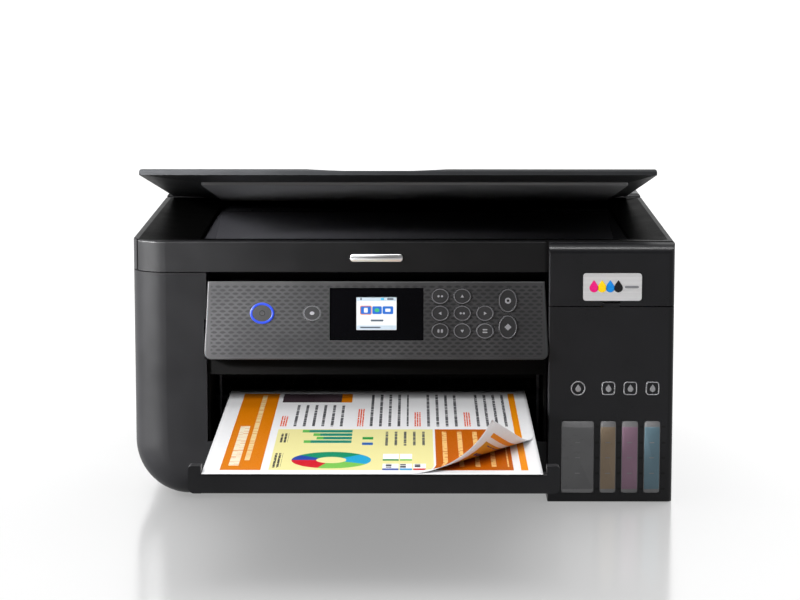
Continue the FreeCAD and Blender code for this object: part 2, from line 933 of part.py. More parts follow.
def make_scanner_base():
    floor = scanner_form("wall", ("scan_bottom + 0.2", "scan_bottom + 2.2"))
    pan = block(
        ("glass_left - pan_lip", "glass_right + pan_lip"),
        behind("glass_front - pan_lip", "glass_rear + pan_lip"),
        ("scan_bottom + 0.2", "glass_top - glass_thickness"),
    )
    inside = block(
        ("glass_left - pan_lip + wall", "glass_right + pan_lip - wall"),
        behind("glass_front - pan_lip + wall", "glass_rear + pan_lip - wall"),
        ("scan_bottom + 2.2", "glass_top"),
    )
    finish("scanner_base", cut(join(floor, pan), inside))


def make_scanner_glass():
    glass = block(
        ("glass_left - pan_lip", "glass_right + pan_lip"),
        behind("glass_front - pan_lip", "glass_rear + pan_lip"),
        ("glass_top - glass_thickness", "glass_top"),
    )
    finish("scanner_glass", glass)


def make_scan_bar():
    left = "glass_left - pan_lip + wall + 1"
    carrier = block(
        (left, f"{left} + bar_width"),
        behind("glass_front - pan_lip + wall + 1", "glass_rear + pan_lip - wall - 1"),
        ("bar_bottom", "bar_top"),
    )
    groove = block(
        (f"{left} + 6", f"{left} + 12"), behind("glass_front", "glass_rear"), ("bar_top - 1", "bar_top + 1")
    )
    finish("scan_bar", cut(carrier, groove))


def make_lid():
    top = block(("lid_left", "lid_right"), behind("lid_front", "lid_rear"), ("lid_bottom", "lid_top"))
    ends = [
        ("y", {"x": value(side), "z": value("lid_top")}, value("lid_edge_radius"))
        for side in ("lid_left", "lid_right")
    ]
    faces = [
        ("x", {"y": value("front") + value(side), "z": value("lid_top")}, value("lid_edge_radius"))
        for side in ("lid_front", "lid_rear")
    ]
    corners = [
        ("z", {"x": value(x), "y": value("front") + value("lid_front")}, 8) for x in ("lid_left", "lid_right")
    ]
    keel = frustum(
        ("glass_left + 1", "glass_right - 1", back("glass_front + 1"), back("glass_rear - 1")),
        ("lid_left + 1", "lid_right - 1", back("lid_front + 4"), back("scan_depth - 4")),
        ("keel_bottom", "lid_bottom"),
    )
    pin = rod("x", (back("lid_pin_depth"), "lid_pin_height"), ("-124", "124"), "lid_pin_radius")
    gaps = [
        block(
            (f"{x} - gap", f"{x} + 8 + gap"),
            behind("scan_depth - 2", "lid_rear + 5"),
            ("lid_bottom - 5", "lid_top + 1"),
        )
        for x in ("-120", "112")
    ]
    sagitta = f"(scoop_width * scoop_width / 4 + scoop_depth * scoop_depth) / (2 * scoop_depth)"
    scoop = rod(
        "y",
        ("paper_middle", f"lid_top - scoop_depth + {sagitta}"),
        behind("lid_front - 1", "lid_front + scoop_length"),
        sagitta,
    )
    body = cut(join(rounded(top, ends + faces), keel), scoop, *gaps)
    finish("lid", join(body, pin), lid_placement())


def make_lid_pad():
    pad = block(
        ("glass_left + 1", "glass_right - 1"),
        behind("glass_front + 1", "glass_rear - 1"),
        ("pad_bottom", "keel_bottom"),
    )
    sides = [value("glass_left") + 1, value("glass_right") - 1]
    depths = [value("front") + value("glass_front") + 1, value("front") + value("glass_rear") - 1]
    corners = [("z", {"x": x, "y": y}, 3) for x in sides for y in depths]
    finish("lid_pad", rounded(pad, corners), lid_placement())


def drive_motors():
    """The carriage's motor and the feed motor, as cans behind the rear plate."""
    carriage_motor = rod(
        "y",
        ("-pulley_side", "pulley_height"),
        behind("back_plate_depth + 3", "back_plate_depth + 30"),
        "motor_radius",
    )
    feed_motor = rod(
        "x",
        (back("back_plate_depth + 24"), "feed_height"),
        ("-engine_half_width + 6", "-engine_half_width + 40"),
        "motor_radius",
    )
    return [carriage_motor, feed_motor]


def make_chassis():
    sides = ("-engine_half_width", "engine_half_width")
    back_plate = block(sides, behind("back_plate_depth", "back_plate_depth + plate"), ("50", "150"))
    shaft = rod("x", (back("rod_depth"), "rod_height"), sides, "rod_radius")
    cheeks = [
        block(span, behind("rod_depth - 8", "back_plate_depth + plate"), ("rod_height - 10", "150"))
        for span in ((sides[0], f"{sides[0]} + plate"), (f"{sides[1]} - plate", sides[1]))
    ]
    frames = []
    for left in ("frame_left", "frame_right"):
        width = (left, f"{left} + plate")
        frames.append(block(width, behind("mouth_depth + 1", "back_plate_depth + plate"), ("30", "72")))
        frames.append(block(width, behind("mouth_depth + 1", "exit_depth + 9"), ("71", "82")))
    holes = [
        rod("x", (back(depth), height), ("frame_left - 1", "frame_right + 3"), "shaft_radius + bore_play")
        for depth, height in (("feed_depth", "feed_height"), ("exit_depth", "exit_height"))
    ]
    holes += [
        rod(
            "y",
            (x, "pulley_height"),
            behind("back_plate_depth - 1", "back_plate_depth + 3"),
            "pulley_bore + bore_play",
        )
        for x in ("-pulley_side", "pulley_side")
    ]
    frame = cut(join(back_plate, shaft, *cheeks, *frames), *holes)
    finish("chassis", join(frame, *drive_motors()))


def belt_loop(growth):
    """A racetrack about both pulleys, this much larger than their radius."""
    depths = behind("belt_front", "belt_rear")
    if growth.startswith("0"):
        depths = behind("belt_front - 1", "belt_rear + 1")
    radius = f"pulley_radius + {growth}"
    ends = [rod("y", (x, "pulley_height"), depths, radius) for x in ("-pulley_side", "pulley_side")]
    straight = block(
        ("-pulley_side", "pulley_side"),
        depths,
        (f"pulley_height - {radius.replace('+', '-')}", f"pulley_height + {radius}"),
    )
    return join(straight, *ends)


def make_carriage_belt():
    finish("carriage_belt", cut(belt_loop("gap + belt_thickness"), belt_loop("0.4")))


def make_pulley(name, x):
    wheel = rod("y", (x, "pulley_height"), behind("belt_front", "belt_rear"), "pulley_radius")
    shaft = rod(
        "y",
        (x, "pulley_height"),
        behind("belt_front - 1", "back_plate_depth + 2.4"),
        "pulley_bore",
    )
    flat = block(
        (f"{x} - 3", f"{x} + 3"),
        behind("belt_front - 1", "belt_front + 0.6"),
        ("pulley_height + 3", "pulley_height + 5"),
    )
    finish(name, cut(join(wheel, shaft), flat))


def make_platen():
    slab = block(
        ("platen_left", "platen_right"),
        behind("platen_front", "platen_rear"),
        ("platen_bottom", "platen_top"),
    )
    trough = block(
        ("platen_left + 4", "platen_right - 4"),
        behind("platen_front + 22", "platen_rear - 16"),
        ("platen_top - 3", "platen_top + 1"),
    )
    ribs = [
        block(
            (f"platen_left + {x}", f"platen_left + {x} + 2"),
            behind("platen_front + 21", "platen_rear - 15"),
            ("platen_top - 4", "platen_top"),
        )
        for x in range(20, 210, 24)
    ]
    finish("platen", join(cut(slab, trough), *ribs))


def make_maintenance_station():
    """The caps under the parked carriage, and the waste ink box below the platen."""
    box = block(
        ("carriage_left", "carriage_right"),
        behind("carriage_front", "carriage_rear - 4"),
        ("40", "head_bottom - 2"),
    )
    cups = [
        block(
            (f"carriage_left + {x}", f"carriage_left + {x} + 22"),
            behind("carriage_front + 8", "carriage_rear - 12"),
            ("head_bottom - 6", "head_bottom"),
        )
        for x in (6, 32)
    ]
    waste_box = block(
        ("waste_left", "waste_right"),
        behind("waste_front", "waste_rear"),
        ("waste_bottom", "waste_top"),
    )
    finish("maintenance_station", join(cut(box, *cups), waste_box))


def make_print_carriage():
    box = block(
        ("carriage_left", "carriage_right"),
        behind("carriage_front", "carriage_rear"),
        ("carriage_bottom", "carriage_top"),
    )
    bore = rod(
        "x",
        (back("rod_depth"), "rod_height"),
        ("carriage_left - 1", "carriage_right + 1"),
        "rod_radius + bore_play",
    )
    wells = [
        block(
            (f"carriage_left + {x}", f"carriage_left + {x} + 11"),
            behind("carriage_front + 4", "rod_depth - 8"),
            ("carriage_bottom + 8", "carriage_top + 1"),
        )
        for x in (4, 18, 32, 46)
    ]
    finish("print_carriage", cut(box, bore, *wells))
    nozzles = block(
        ("carriage_left + 6", "carriage_right - 6"),
        behind("carriage_front + 6", "carriage_rear - 6"),
        ("head_bottom", "carriage_bottom"),
    )
    finish("print_head", nozzles)


def roller(name, depth, height, radius, bands):
    """A shaft with rubber bands on it, each given by where it starts and ends."""
    shaft = rod("x", (back(depth), height), ("shaft_left", "shaft_right"), "shaft_radius")
    rubber = [rod("x", (back(depth), height), band, radius) for band in bands]
    finish(name, join(shaft, *rubber))


def make_rollers():
    roller("feed_roller", "feed_depth", "feed_height", "feed_radius", [("platen_left", "platen_right")])
    bands = [(f"platen_left + {x}", f"platen_left + {x} + 16") for x in range(12, 200, 44)]
    roller("exit_roller", "exit_depth", "exit_height", "exit_radius", bands)
    roller(
        "pickup_roller",
        "pickup_depth",
        "pickup_height",
        "pickup_radius",
        [("paper_middle - 30", "paper_middle + 30")],
    )


def make_star_wheels():
    bar = block(
        ("frame_left + plate", "frame_right"),
        behind("exit_depth - 4", "exit_depth + 4"),
        ("star_height + 3", "star_height + 7"),
    )
    wheels = [
        rod(
            "x",
            (back("exit_depth"), "star_height"),
            (f"platen_left + {x}", f"platen_left + {x} + 1.2"),
            "star_radius",
        )
        for x in range(19, 200, 22)
    ]
    finish("star_wheels", join(bar, *wheels))


def make_output_tray():
    """First stage of the tray.  Its frame's origin is on its own rear edge."""
    near = "-tray_rear - tray_split"
    plate = block(("tray_left", "tray_right"), (near, "0"), ("-tray_plate", "0"))
    rails = [
        block(side, (near, "0"), ("-tray_plate", "tray_plate + gap + 1"))
        for side in (("tray_left", "tray_left + 3"), ("tray_right - 3", "tray_right"))
    ]
    finish("output_tray", join(plate, *rails), tray_placement())


def tray_end_caps():
    """The two end pieces of the tray's lip, which keep the paper between them."""
    caps = []
    for side, outer in (
        (("lip_left", "lip_left + ear_width"), "lip_left"),
        (("lip_right - ear_width", "lip_right"), "lip_right"),
    ):
        cap = block(side, ("-tray_rear - lip_reach", "-tray_rear - tray_reach"), ("-lip_drop", "ear_rise"))
        x = value(outer)
        edges = [
            ("y", {"x": x, "z": -value("lip_drop")}, value("lip_radius")),
            ("y", {"x": x, "z": value("ear_rise")}, value("ear_radius")),
        ]
        caps.append(rounded(cap, edges))
    return caps


def make_tray_extension():
    near = "-tray_rear - tray_reach"
    plate = block(
        ("tray_left + 4", "tray_right - 4"),
        (f"{near} - 1", "-tray_rear - tray_overlap"),
        ("gap", "gap + tray_plate"),
    )
    lip = block(
        ("lip_left + ear_width", "lip_right - ear_width"),
        ("-tray_rear - lip_reach", near),
        ("-lip_drop", "lip_rise"),
    )
    front = -value("tray_rear") - value("lip_reach")
    edges = [("x", {"y": front, "z": value("lip_rise")}, 1), ("x", {"y": front, "z": -value("lip_drop")}, 1)]
    shelf = join(rounded(lip, edges), plate)
    finish("tray_extension", together(shelf, *tray_end_caps()), tray_placement())


def make_printed_sheet():
    sheet_of_paper = block(
        ("paper_middle - paper_width / 2", "paper_middle + paper_width / 2"),
        behind("-paper_front", "paper_rear"),
        ("paper_bottom", "paper_bottom + paper_thickness"),
    )
    finish("printed_sheet", sheet_of_paper)


def make_rear_feeder():
    outer = block(
        ("-half_width", "half_width"),
        behind("feeder_front", "feeder_rear"),
        ("feeder_bottom", "feeder_top"),
    )
    outer = softened(outer, lambda box: box.ZMin > value("feeder_top") - 0.1, 3)
    inner = block(
        ("-half_width + wall", "half_width - wall"), behind("feeder_front + wall", "feeder_rear - wall"),
        ("feeder_bottom - 1", "feeder_top - wall"),
    )
    chute = block(
        ("slot_left - wall", "slot_right + wall"),
        behind("slot_front - 2", "slot_rear + 2"),
        ("slot_bottom", "feeder_top"),
    )
    sleeve = block(
        ("support_left - 3", "support_right + 3"),
        behind("slot_rear + 1", "support_rear + 2.4"),
        ("support_bottom - 3", "feeder_top"),
    )
    slot = block(
        ("slot_left", "slot_right"),
        behind("slot_front", "slot_rear"),
        ("slot_bottom - 1", "feeder_top + 1"),
    )
    slit = block(
        ("support_left - gap", "support_right + gap"), behind("support_front - gap", "support_rear + gap"),
        ("support_bottom - gap", "feeder_top + 1"),
    )
    bearings = [
        block(span, behind("slot_front - 2", "slot_rear + 2"), ("pickup_height - 8", "slot_bottom + 5"))
        for span in (("slot_left - wall", "slot_left - 1"), ("slot_right + 1", "slot_right + wall"))
    ]
    bore = rod(
        "x",
        (back("pickup_depth"), "pickup_height"),
        ("shaft_left", "shaft_right"),
        "shaft_radius + bore_play",
    )
    hinge_middle = (back("guard_pin_depth"), "feeder_top + guard_pin_radius + 0.3")
    hinge_lugs = [
        block(
            (x, f"{x} + 5"),
            behind("guard_pin_depth - 2", "guard_pin_depth + 2"),
            ("feeder_top - 1", "feeder_top + 3"),
        )
        for x in ("slot_left - 7", "slot_right + 2")
    ]
    hinge_bore = rod("x", hinge_middle, ("slot_left - 8", "slot_right + 8"), "guard_pin_radius + bore_play")
    shell = join(cut(outer, inner), chute, sleeve, *bearings, *hinge_lugs)
    finish("rear_feeder", cut(shell, slot, slit, bore, hinge_bore))


def make_feeder_guard():
    low = "feeder_top + 0.3"
    flap = block(
        ("slot_left + 1", "slot_right - 1"),
        behind("guard_pin_depth", "slot_rear + 1.5"),
        (low, f"{low} + guard_thickness"),
    )
    pin = rod(
        "x",
        (back("guard_pin_depth"), "feeder_top + guard_pin_radius + 0.3"),
        ("slot_left - 5", "slot_right + 5"),
        "guard_pin_radius",
    )
    finish("feeder_guard", join(flap, pin))


def make_paper_support():
    plate = block(
        ("support_left", "support_right"),
        behind("support_front", "support_rear"),
        ("support_bottom", "feeder_top - 0.5"),
    )
    finish("paper_support", plate)


def make_edge_guides():
    depths = behind("slot_front + 1", "slot_rear - 1")
    heights = ("guide_bottom", "feeder_top - 0.4")
    left = block(("slot_left + guide_inset", "slot_left + guide_inset + 2"), depths, heights)
    left_wing = block(
        ("slot_left + guide_inset", "slot_left + guide_inset + 9"),
        behind("slot_rear - 2.2", "slot_rear - 1"),
        heights,
    )
    finish("left_guide", join(left, left_wing))
    right = block(("slot_right - guide_inset - 2", "slot_right - guide_inset"), depths, heights)
    right_wing = block(
        ("slot_right - guide_inset - 9", "slot_right - guide_inset"),
        behind("slot_rear - 2.2", "slot_rear - 1"),
        heights,
    )
    finish("right_guide", join(right, right_wing))


def make_rear_cover():
    panel = block(
        ("cover_left", "cover_right"),
        behind("socket_rear", "cover_rear"),
        ("cover_bottom", "cover_top"),
    )
    far = value("front") + value("cover_rear")
    edges = [("x", {"y": far, "z": value(end)}, 6) for end in ("cover_bottom", "cover_top")]
    tongue = block(
        ("cover_left + 6", "cover_right - 6"),
        behind("case_depth - 8", "socket_rear + 1"),
        ("cover_bottom + 6", "cover_top - 6"),
    )
    dish = block(
        ("cover_left + 9", "cover_right - 9"),
        behind("case_depth - 9", "cover_rear - wall * 2"),
        ("cover_bottom + 9", "cover_top - 9"),
    )
    finish("rear_cover", cut(join(rounded(panel, edges), tongue), dish))


def make_mainboard():
    board = block(("usb_left - 1.5", "usb_left"), behind("190", "318"), ("32", "120"))
    port = block(("usb_left", "usb_right"), behind("306", "socket_rear"), ("usb_bottom", "usb_top"))
    socket = block(
        ("usb_left + 2", "usb_right - 2"),
        behind("socket_rear - 9", "socket_rear + 1"),
        ("usb_bottom + 1.5", "usb_top - 1.5"),
    )
    tongue = block(
        ("usb_left + 4.2", "usb_right - 4.2"),
        behind("socket_rear - 10", "socket_rear - 5.5"),
        ("usb_bottom + 4.4", "usb_top - 4.4"),
    )
    finish("mainboard", join(board, cut(port, socket), tongue))


def make_power_supply():
    box = block(("118", "182"), behind("215", "318"), ("8", "62"))
    inlet = block(
        ("inlet_left", "inlet_right"),
        behind("310", "socket_rear"),
        ("inlet_bottom", "inlet_top"),
    )
    socket = block(
        ("inlet_left + 3", "inlet_right - 3"),
        behind("socket_rear - 12", "socket_rear + 1"),
        ("inlet_bottom + 6", "inlet_top - 6"),
    )
    middle = "(inlet_bottom + inlet_top) / 2"
    pins = [
        rod(
            "y",
            (f"(inlet_left + inlet_right) / 2 + {x}", middle),
            behind("socket_rear - 13", "socket_rear - 6.5"),
            "1.1",
        )
        for x in (-4.3, 4.3)
    ]
    finish("power_supply", join(cut(join(box, inlet), socket), *pins))


def make_screws():
    heads = []
    for x in ("-screw_side", "screw_side"):
        head = rod("y", (x, "screw_height"), behind("case_depth", "case_depth + 1.4"), "screw_radius")
        slot = block(
            (f"{x} - 2.2", f"{x} + 2.2"),
            behind("case_depth + 0.7", "case_depth + 2"),
            ("screw_height - 0.4", "screw_height + 0.4"),
        )
        cross = block(
            (f"{x} - 0.4", f"{x} + 0.4"),
            behind("case_depth + 0.7", "case_depth + 2"),
            ("screw_height - 2.2", "screw_height + 2.2"),
        )
        heads.append(cut(head, slot, cross))
    finish("screws", join(*heads))


def check_and_write():
    document.recompute()
    for thing in document.Objects:
        if set(thing.State) & {"Invalid", "Error"}:
            raise RuntimeError(f"{thing.Name} {thing.Label} failed")
    os.makedirs("parts", exist_ok=True)
    for part in parts:
        if part.Shape.isNull() or not part.Shape.isValid() or not part.Shape.Solids:
            raise RuntimeError(f"{part.Label} has no sound shape")
        part.Shape.exportStep(f"parts/{part.Label}.step")


fill_sheet()
make_lower_case()
make_feet()
make_front_frame()
make_tank_case()
make_tank_cover()
make_badge_plate()
make_tanks()
for ink in WINDOWS:
    make_cap(ink)
make_control_panel()
make_panel_window()
for button in BUTTONS:
    make_button(button)
make_scanner_frame()
make_scanner_hinges()
make_scanner_base()
make_scanner_glass()
make_scan_bar()
make_lid()
make_lid_pad()
make_chassis()
make_carriage_belt()
make_pulley("drive_pulley", "-pulley_side")
make_pulley("idler_pulley", "pulley_side")
make_platen()
make_maintenance_station()
make_print_carriage()
make_rollers()
make_star_wheels()
make_output_tray()
make_tray_extension()
make_printed_sheet()
make_rear_feeder()
make_feeder_guard()
make_paper_support()
make_edge_guides()
make_rear_cover()
make_mainboard()
make_power_supply()
make_screws()
check_and_write()
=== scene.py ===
import math
import bmesh
import bpy
from mathutils import Euler, Matrix, Vector


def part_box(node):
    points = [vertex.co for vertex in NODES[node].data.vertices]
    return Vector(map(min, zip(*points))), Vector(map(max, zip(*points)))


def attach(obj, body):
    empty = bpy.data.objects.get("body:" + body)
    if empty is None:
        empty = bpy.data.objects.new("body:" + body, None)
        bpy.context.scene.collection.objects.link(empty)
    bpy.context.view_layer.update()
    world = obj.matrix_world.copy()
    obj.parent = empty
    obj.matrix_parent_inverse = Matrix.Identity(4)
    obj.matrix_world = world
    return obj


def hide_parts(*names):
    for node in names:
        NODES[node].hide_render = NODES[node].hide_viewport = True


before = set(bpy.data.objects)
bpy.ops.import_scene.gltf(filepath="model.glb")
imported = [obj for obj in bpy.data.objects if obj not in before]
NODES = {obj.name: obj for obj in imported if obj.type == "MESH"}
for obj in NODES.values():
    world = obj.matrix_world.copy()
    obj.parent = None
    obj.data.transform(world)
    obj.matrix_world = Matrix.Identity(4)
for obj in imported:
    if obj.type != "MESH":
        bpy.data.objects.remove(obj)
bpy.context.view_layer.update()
MM = 0.001


def low(node):
    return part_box(node)[0]


def high(node):
    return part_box(node)[1]


# ---------------------------------------------------------------- node helpers

def add(tree, kind, *inputs, **settings):
    """A shader node.  Inputs are values or sockets, in the node's own order."""
    made = tree.nodes.new("ShaderNode" + kind)
    for key, setting in settings.items():
        setattr(made, key, setting)
    for index, given in enumerate(inputs):
        if isinstance(given, bpy.types.NodeSocket):
            tree.links.new(given, made.inputs[index])
        elif given is not None:
            made.inputs[index].default_value = given
    return made


def maths(tree, operation, *inputs):
    return add(tree, "Math", *inputs, operation=operation).outputs[0]


def mix(tree, factor, first, second):
    """Mix two colours, each a socket or a colour."""
    made = tree.nodes.new("ShaderNodeMix")
    made.data_type = "RGBA"
    for socket, given in ((made.inputs[0], factor), (made.inputs[6], first), (made.inputs[7], second)):
        if isinstance(given, bpy.types.NodeSocket):
            tree.links.new(given, socket)
        else:
            socket.default_value = given
    return made.outputs[2]


def rgb(red, green, blue):
    """An sRGB colour from 0 to 255 as linear RGBA."""
    return tuple((channel / 255) ** 2.2 for channel in (red, green, blue)) + (1.0,)


def new_material(name):
    material = bpy.data.materials.new(name)
    material.use_nodes = True
    tree = material.node_tree
    return material, tree, tree.nodes["Principled BSDF"]


def spread(tree, source, near, far):
    """Map 0..1 to near..far."""
    return add(tree, "MapRange", source, 0.3, 0.7, near, far).outputs[0]


def noise(tree, scale, detail=3.0, where=None, rough=0.55):
    where = where or add(tree, "TexCoord").outputs["Object"]
    return add(tree, "TexNoise", where, None, scale, detail, rough).outputs["Fac"]


def relief(tree, shader, source, strength, distance):
    bump = add(tree, "Bump", strength, distance)
    tree.links.new(source, bump.inputs["Height"])
    tree.links.new(bump.outputs[0], shader.inputs["Normal"])


def plastic(name, color, roughness=0.42, grain=1400, bump=0.12, tone=0.16, coat=0.0, shine=0.28):
    """Moulded plastic: fine spark grain, faint mottling and slightly uneven gloss."""
    material, tree, shader = new_material(name)
    fine = noise(tree, grain, 2.0)
    broad = noise(tree, 38, 3.0)
    dark = tuple(c * (1 - tone) for c in color[:3]) + (1.0,)
    light = tuple(min(1, c * (1 + tone)) for c in color[:3]) + (1.0,)
    tree.links.new(mix(tree, spread(tree, broad, 0, 1), dark, light), shader.inputs["Base Color"])
    uneven = maths(tree, "ADD", spread(tree, fine, roughness - 0.05, roughness + 0.05),
                   spread(tree, broad, -0.03, 0.03))
    tree.links.new(uneven, shader.inputs["Roughness"])
    relief(tree, shader, fine, bump, 0.00006)
    shader.inputs["Specular IOR Level"].default_value = shine
    shader.inputs["Coat Weight"].default_value = coat
    shader.inputs["Coat Roughness"].default_value = 0.12
    return material


def metal(name, color, roughness=0.3, scale=(20, 900, 900)):
    """Brushed or plated metal with fine streaks along one axis."""
    material, tree, shader = new_material(name)
    place = add(tree, "Mapping", add(tree, "TexCoord").outputs["Object"])
    place.inputs["Scale"].default_value = scale
    streaks = noise(tree, 1.0, 3.0, place.outputs[0])
    dark = tuple(c * 0.82 for c in color[:3]) + (1.0,)
    tree.links.new(mix(tree, streaks, dark, color), shader.inputs["Base Color"])
    tree.links.new(spread(tree, streaks, roughness - 0.07, roughness + 0.09), shader.inputs["Roughness"])
    relief(tree, shader, streaks, 0.1, 0.00005)
    shader.inputs["Metallic"].default_value = 1.0
    return material


def glow(name, color, strength):
    """A lit surface, a little uneven like a light guide."""
    material, tree, shader = new_material(name)
    shade = mix(tree, noise(tree, 260), tuple(c * 0.85 for c in color[:3]) + (1.0,), color)
    tree.links.new(mix(tree, 0.85, shade, (0.0, 0.0, 0.0, 1.0)), shader.inputs["Base Color"])
    tree.links.new(shade, shader.inputs["Emission Color"])
    shader.inputs["Emission Strength"].default_value = strength
    shader.inputs["Roughness"].default_value = 0.4
    return material


def paint(material, *names):
    for name in names:
        for slot in NODES[name].material_slots:
            slot.material = material


# ---------------------------------------------------------------- colours, and measures in mm unless said

# where the world is dark and bright, and how far the table lights itself
FRONT_GLOW, BACK_GLOW, TOP_GLOW, FLOOR_GLOW = 0.04, 1.25, 0.3, 0.4

# the control panel's tilted frame: its lean in radians, and its origin on the panel's top edge in metres
PANEL_LEAN = math.atan2(8, 53.4)
PANEL_TOP = (0.0, low("scanner_frame").y - 2 * MM, 154.4 * MM)
PANEL = Matrix.Translation(PANEL_TOP) @ Matrix.Rotation(-PANEL_LEAN, 4, "X")
# the patterned field across the panel, and its rows and columns
PANEL_MIDDLE, PANEL_HALF_WIDTH = -17.8, 114.5
PANEL_ROW, PANEL_COLUMN = 2.43, 5.9

# the colour of each ink's pane and of the liquid
INKS = {
    "black": (rgb(96, 96, 97), rgb(24, 24, 25)),
    "yellow": (rgb(122, 108, 92), rgb(196, 150, 10)),
    "magenta": (rgb(124, 100, 115), rgb(150, 14, 90)),
    "cyan": (rgb(90, 111, 121), rgb(10, 96, 160)),
}

# left and right edge of each window
WINDOWS = {
    "black": (110.3, 133.0),
    "yellow": (137.0, 148.3),
    "magenta": (151.9, 163.6),
    "cyan": (167.4, 178.9),
}

# middle across, middle along the panel, width and height of each button
BUTTONS = {
    "power": (-96.7, -22.0, 14.4, 12.4),
    "network": (-62.2, -21.9, 12.4, 11),
    "home": (26.2, -10.2, 12.4, 11),
    "up": (41.4, -10.2, 12.4, 11),
    "left": (26.2, -21.9, 12.4, 11),
    "ok": (41.4, -21.9, 12.4, 11),
    "right": (57.1, -21.9, 12.4, 11),
    "help": (26.2, -34.1, 12.4, 11),
    "down": (41.4, -34.1, 12.4, 11),
    "back": (57.1, -34.1, 12.4, 11),
    "stop": (72.9, -13.2, 13, 16.4),
    "start": (72.9, -31.4, 13, 16.4),
}

# the page, and how the upper one's front right corner rolls up about a slanting line
SHEET_LEFT = low("printed_sheet").x / MM
SHEET_FRONT = low("printed_sheet").y / MM
SHEET_WIDTH = (high("printed_sheet").x - low("printed_sheet").x) / MM
SHEET_LENGTH = (high("printed_sheet").y - low("printed_sheet").y) / MM
FOLD_START = Vector((127.6, 0.0))
FOLD_WAY = Vector((80.9, 119.0)).normalized()
FOLD_OUT = Vector((FOLD_WAY.y, -FOLD_WAY.x))
CURL_RADIUS = 30.5
CURL_TURN = 1.55
PAPER = 0.12

# blocks whose ink also shows on the page's back: left, right, near, far
WIDE_BLOCK = (144.4, 192.4, 11.6, 140)
EDGE_STRIPE = (197, 201.4, 11.6, 270)


# ---------------------------------------------------------------- camera, light and floor

def make_camera():
    """Long lens, slightly above the printer, looking a little down."""
    camera = bpy.data.objects.new("camera", bpy.data.cameras.new("camera"))
    bpy.context.scene.collection.objects.link(camera)
    distance, height, pitch, yaw = 1.85174, 0.42001, 8.526, 0.28
    camera.location = (0.00752, low("tank_case").y - distance, height)
    camera.rotation_euler = Euler((math.radians(90 - pitch), 0, math.radians(yaw)))
    camera.data.lens = 122.44
    camera.data.sensor_width = 36
    camera.data.clip_end = 60
    bpy.context.scene.camera = camera


def soft_light(name, place, target, size, power, spread_angle=180):
    """A rectangular light aimed at a point: metres, watts and degrees."""
    data = bpy.data.lights.new(name, "AREA")
    data.shape = "RECTANGLE"
    data.size, data.size_y = size
    data.energy = power
    data.spread = math.radians(spread_angle)
    light = bpy.data.objects.new(name, data)
    light.location = place
    aim = Vector(target) - Vector(place)
    light.rotation_euler = aim.to_track_quat("-Z", "Y").to_euler()
    bpy.context.scene.collection.objects.link(light)
    return light


def make_world():
    """A studio that is white behind and above the printer and dark in front of it."""
    world = bpy.data.worlds.new("studio")
    world.use_nodes = True
    bpy.context.scene.world = world
    tree = world.node_tree
    way = add(tree, "SeparateXYZ", add(tree, "TexCoord").outputs["Generated"])
    behind = add(tree, "MapRange", way.outputs[1], -0.1, 0.5, FRONT_GLOW, BACK_GLOW).outputs[0]
    above = add(tree, "MapRange", way.outputs[2], 0.3, 0.9, 0.0, TOP_GLOW).outputs[0]
    strength = maths(tree, "MAXIMUM", behind, above)
    tree.links.new(strength, tree.nodes["Background"].inputs[1])
    tree.nodes["Background"].inputs[0].default_value = (1, 1, 1, 1)


def make_lights():
    """Soft light from above, side lights that leave out floor and pages, and one for the pages alone."""
    make_world()
    soft_light("overhead", (0, 0.7, 2.4), (0, 0.1, 0), (2.6, 2.6), 11)
    apart = bpy.data.collections.new("not_lit_from_the_side")
    for name in ("studio_floor", "top_sheet", "under_sheet"):
        apart.objects.link(bpy.data.objects[name])
    for member in apart.collection_objects:
        member.light_linking.link_state = "EXCLUDE"
    for light in (
        soft_light("left_box", (-1.1, -0.9, 0.6), (-0.23, -0.06, 0.11), (0.15, 0.6), 3.4, 12),
        soft_light("left_rim", (-1.5, -0.25, 0.5), (-0.187, -0.02, 0.1), (0.5, 0.7), 4.8, 24),
        soft_light("top_strip", (0.14, -0.8, 1.5), (0.14, -0.06, 0.18), (0.9, 0.14), 1.6, 50),
    ):
        light.light_linking.receiver_collection = apart
    pages = bpy.data.collections.new("lit_from_above")
    for name in ("top_sheet", "under_sheet"):
        pages.objects.link(bpy.data.objects[name])
    page_light = soft_light("page_light", (-0.3, -1.5, 1.1), (0, -0.15, 0.07), (0.8, 0.8), 32)
    page_light.light_linking.receiver_collection = pages
    bpy.context.scene.view_settings.view_transform = "Standard"


def make_floor():
    """A pale seamless table, glossy enough to mirror the printer faintly."""
    bpy.ops.mesh.primitive_plane_add(size=40, location=(0, 8, 0))
    floor = bpy.context.object
    floor.name = "studio_floor"
    material, tree, shader = new_material("floor")
    mottle = noise(tree, 3.0, 2.0)
    white = mix(tree, mottle, (0.78, 0.78, 0.78, 1), (0.81, 0.81, 0.81, 1))
    tree.links.new(white, shader.inputs["Base Color"])
    tree.links.new(white, shader.inputs["Emission Color"])
    shader.inputs["Emission Strength"].default_value = FLOOR_GLOW
    tree.links.new(spread(tree, mottle, 0.14, 0.18), shader.inputs["Roughness"])
    floor.data.materials.append(material)


# ---------------------------------------------------------------- piece helpers

def place_piece(name, mesh, material, body, smooth=True, matrix=None):
    """Link a mesh as a named piece that rides on a body."""
    piece = bpy.data.objects.new(name, mesh)
    bpy.context.scene.collection.objects.link(piece)
    mesh.materials.append(material)
    if matrix:
        mesh.transform(matrix)
    for face in mesh.polygons:
        face.use_smooth = smooth
    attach(piece, body)
    return piece


def ellipse(width, height, count=48):
    return [
        (width / 2 * math.cos(2 * math.pi * i / count), height / 2 * math.sin(2 * math.pi * i / count))
        for i in range(count)
    ]


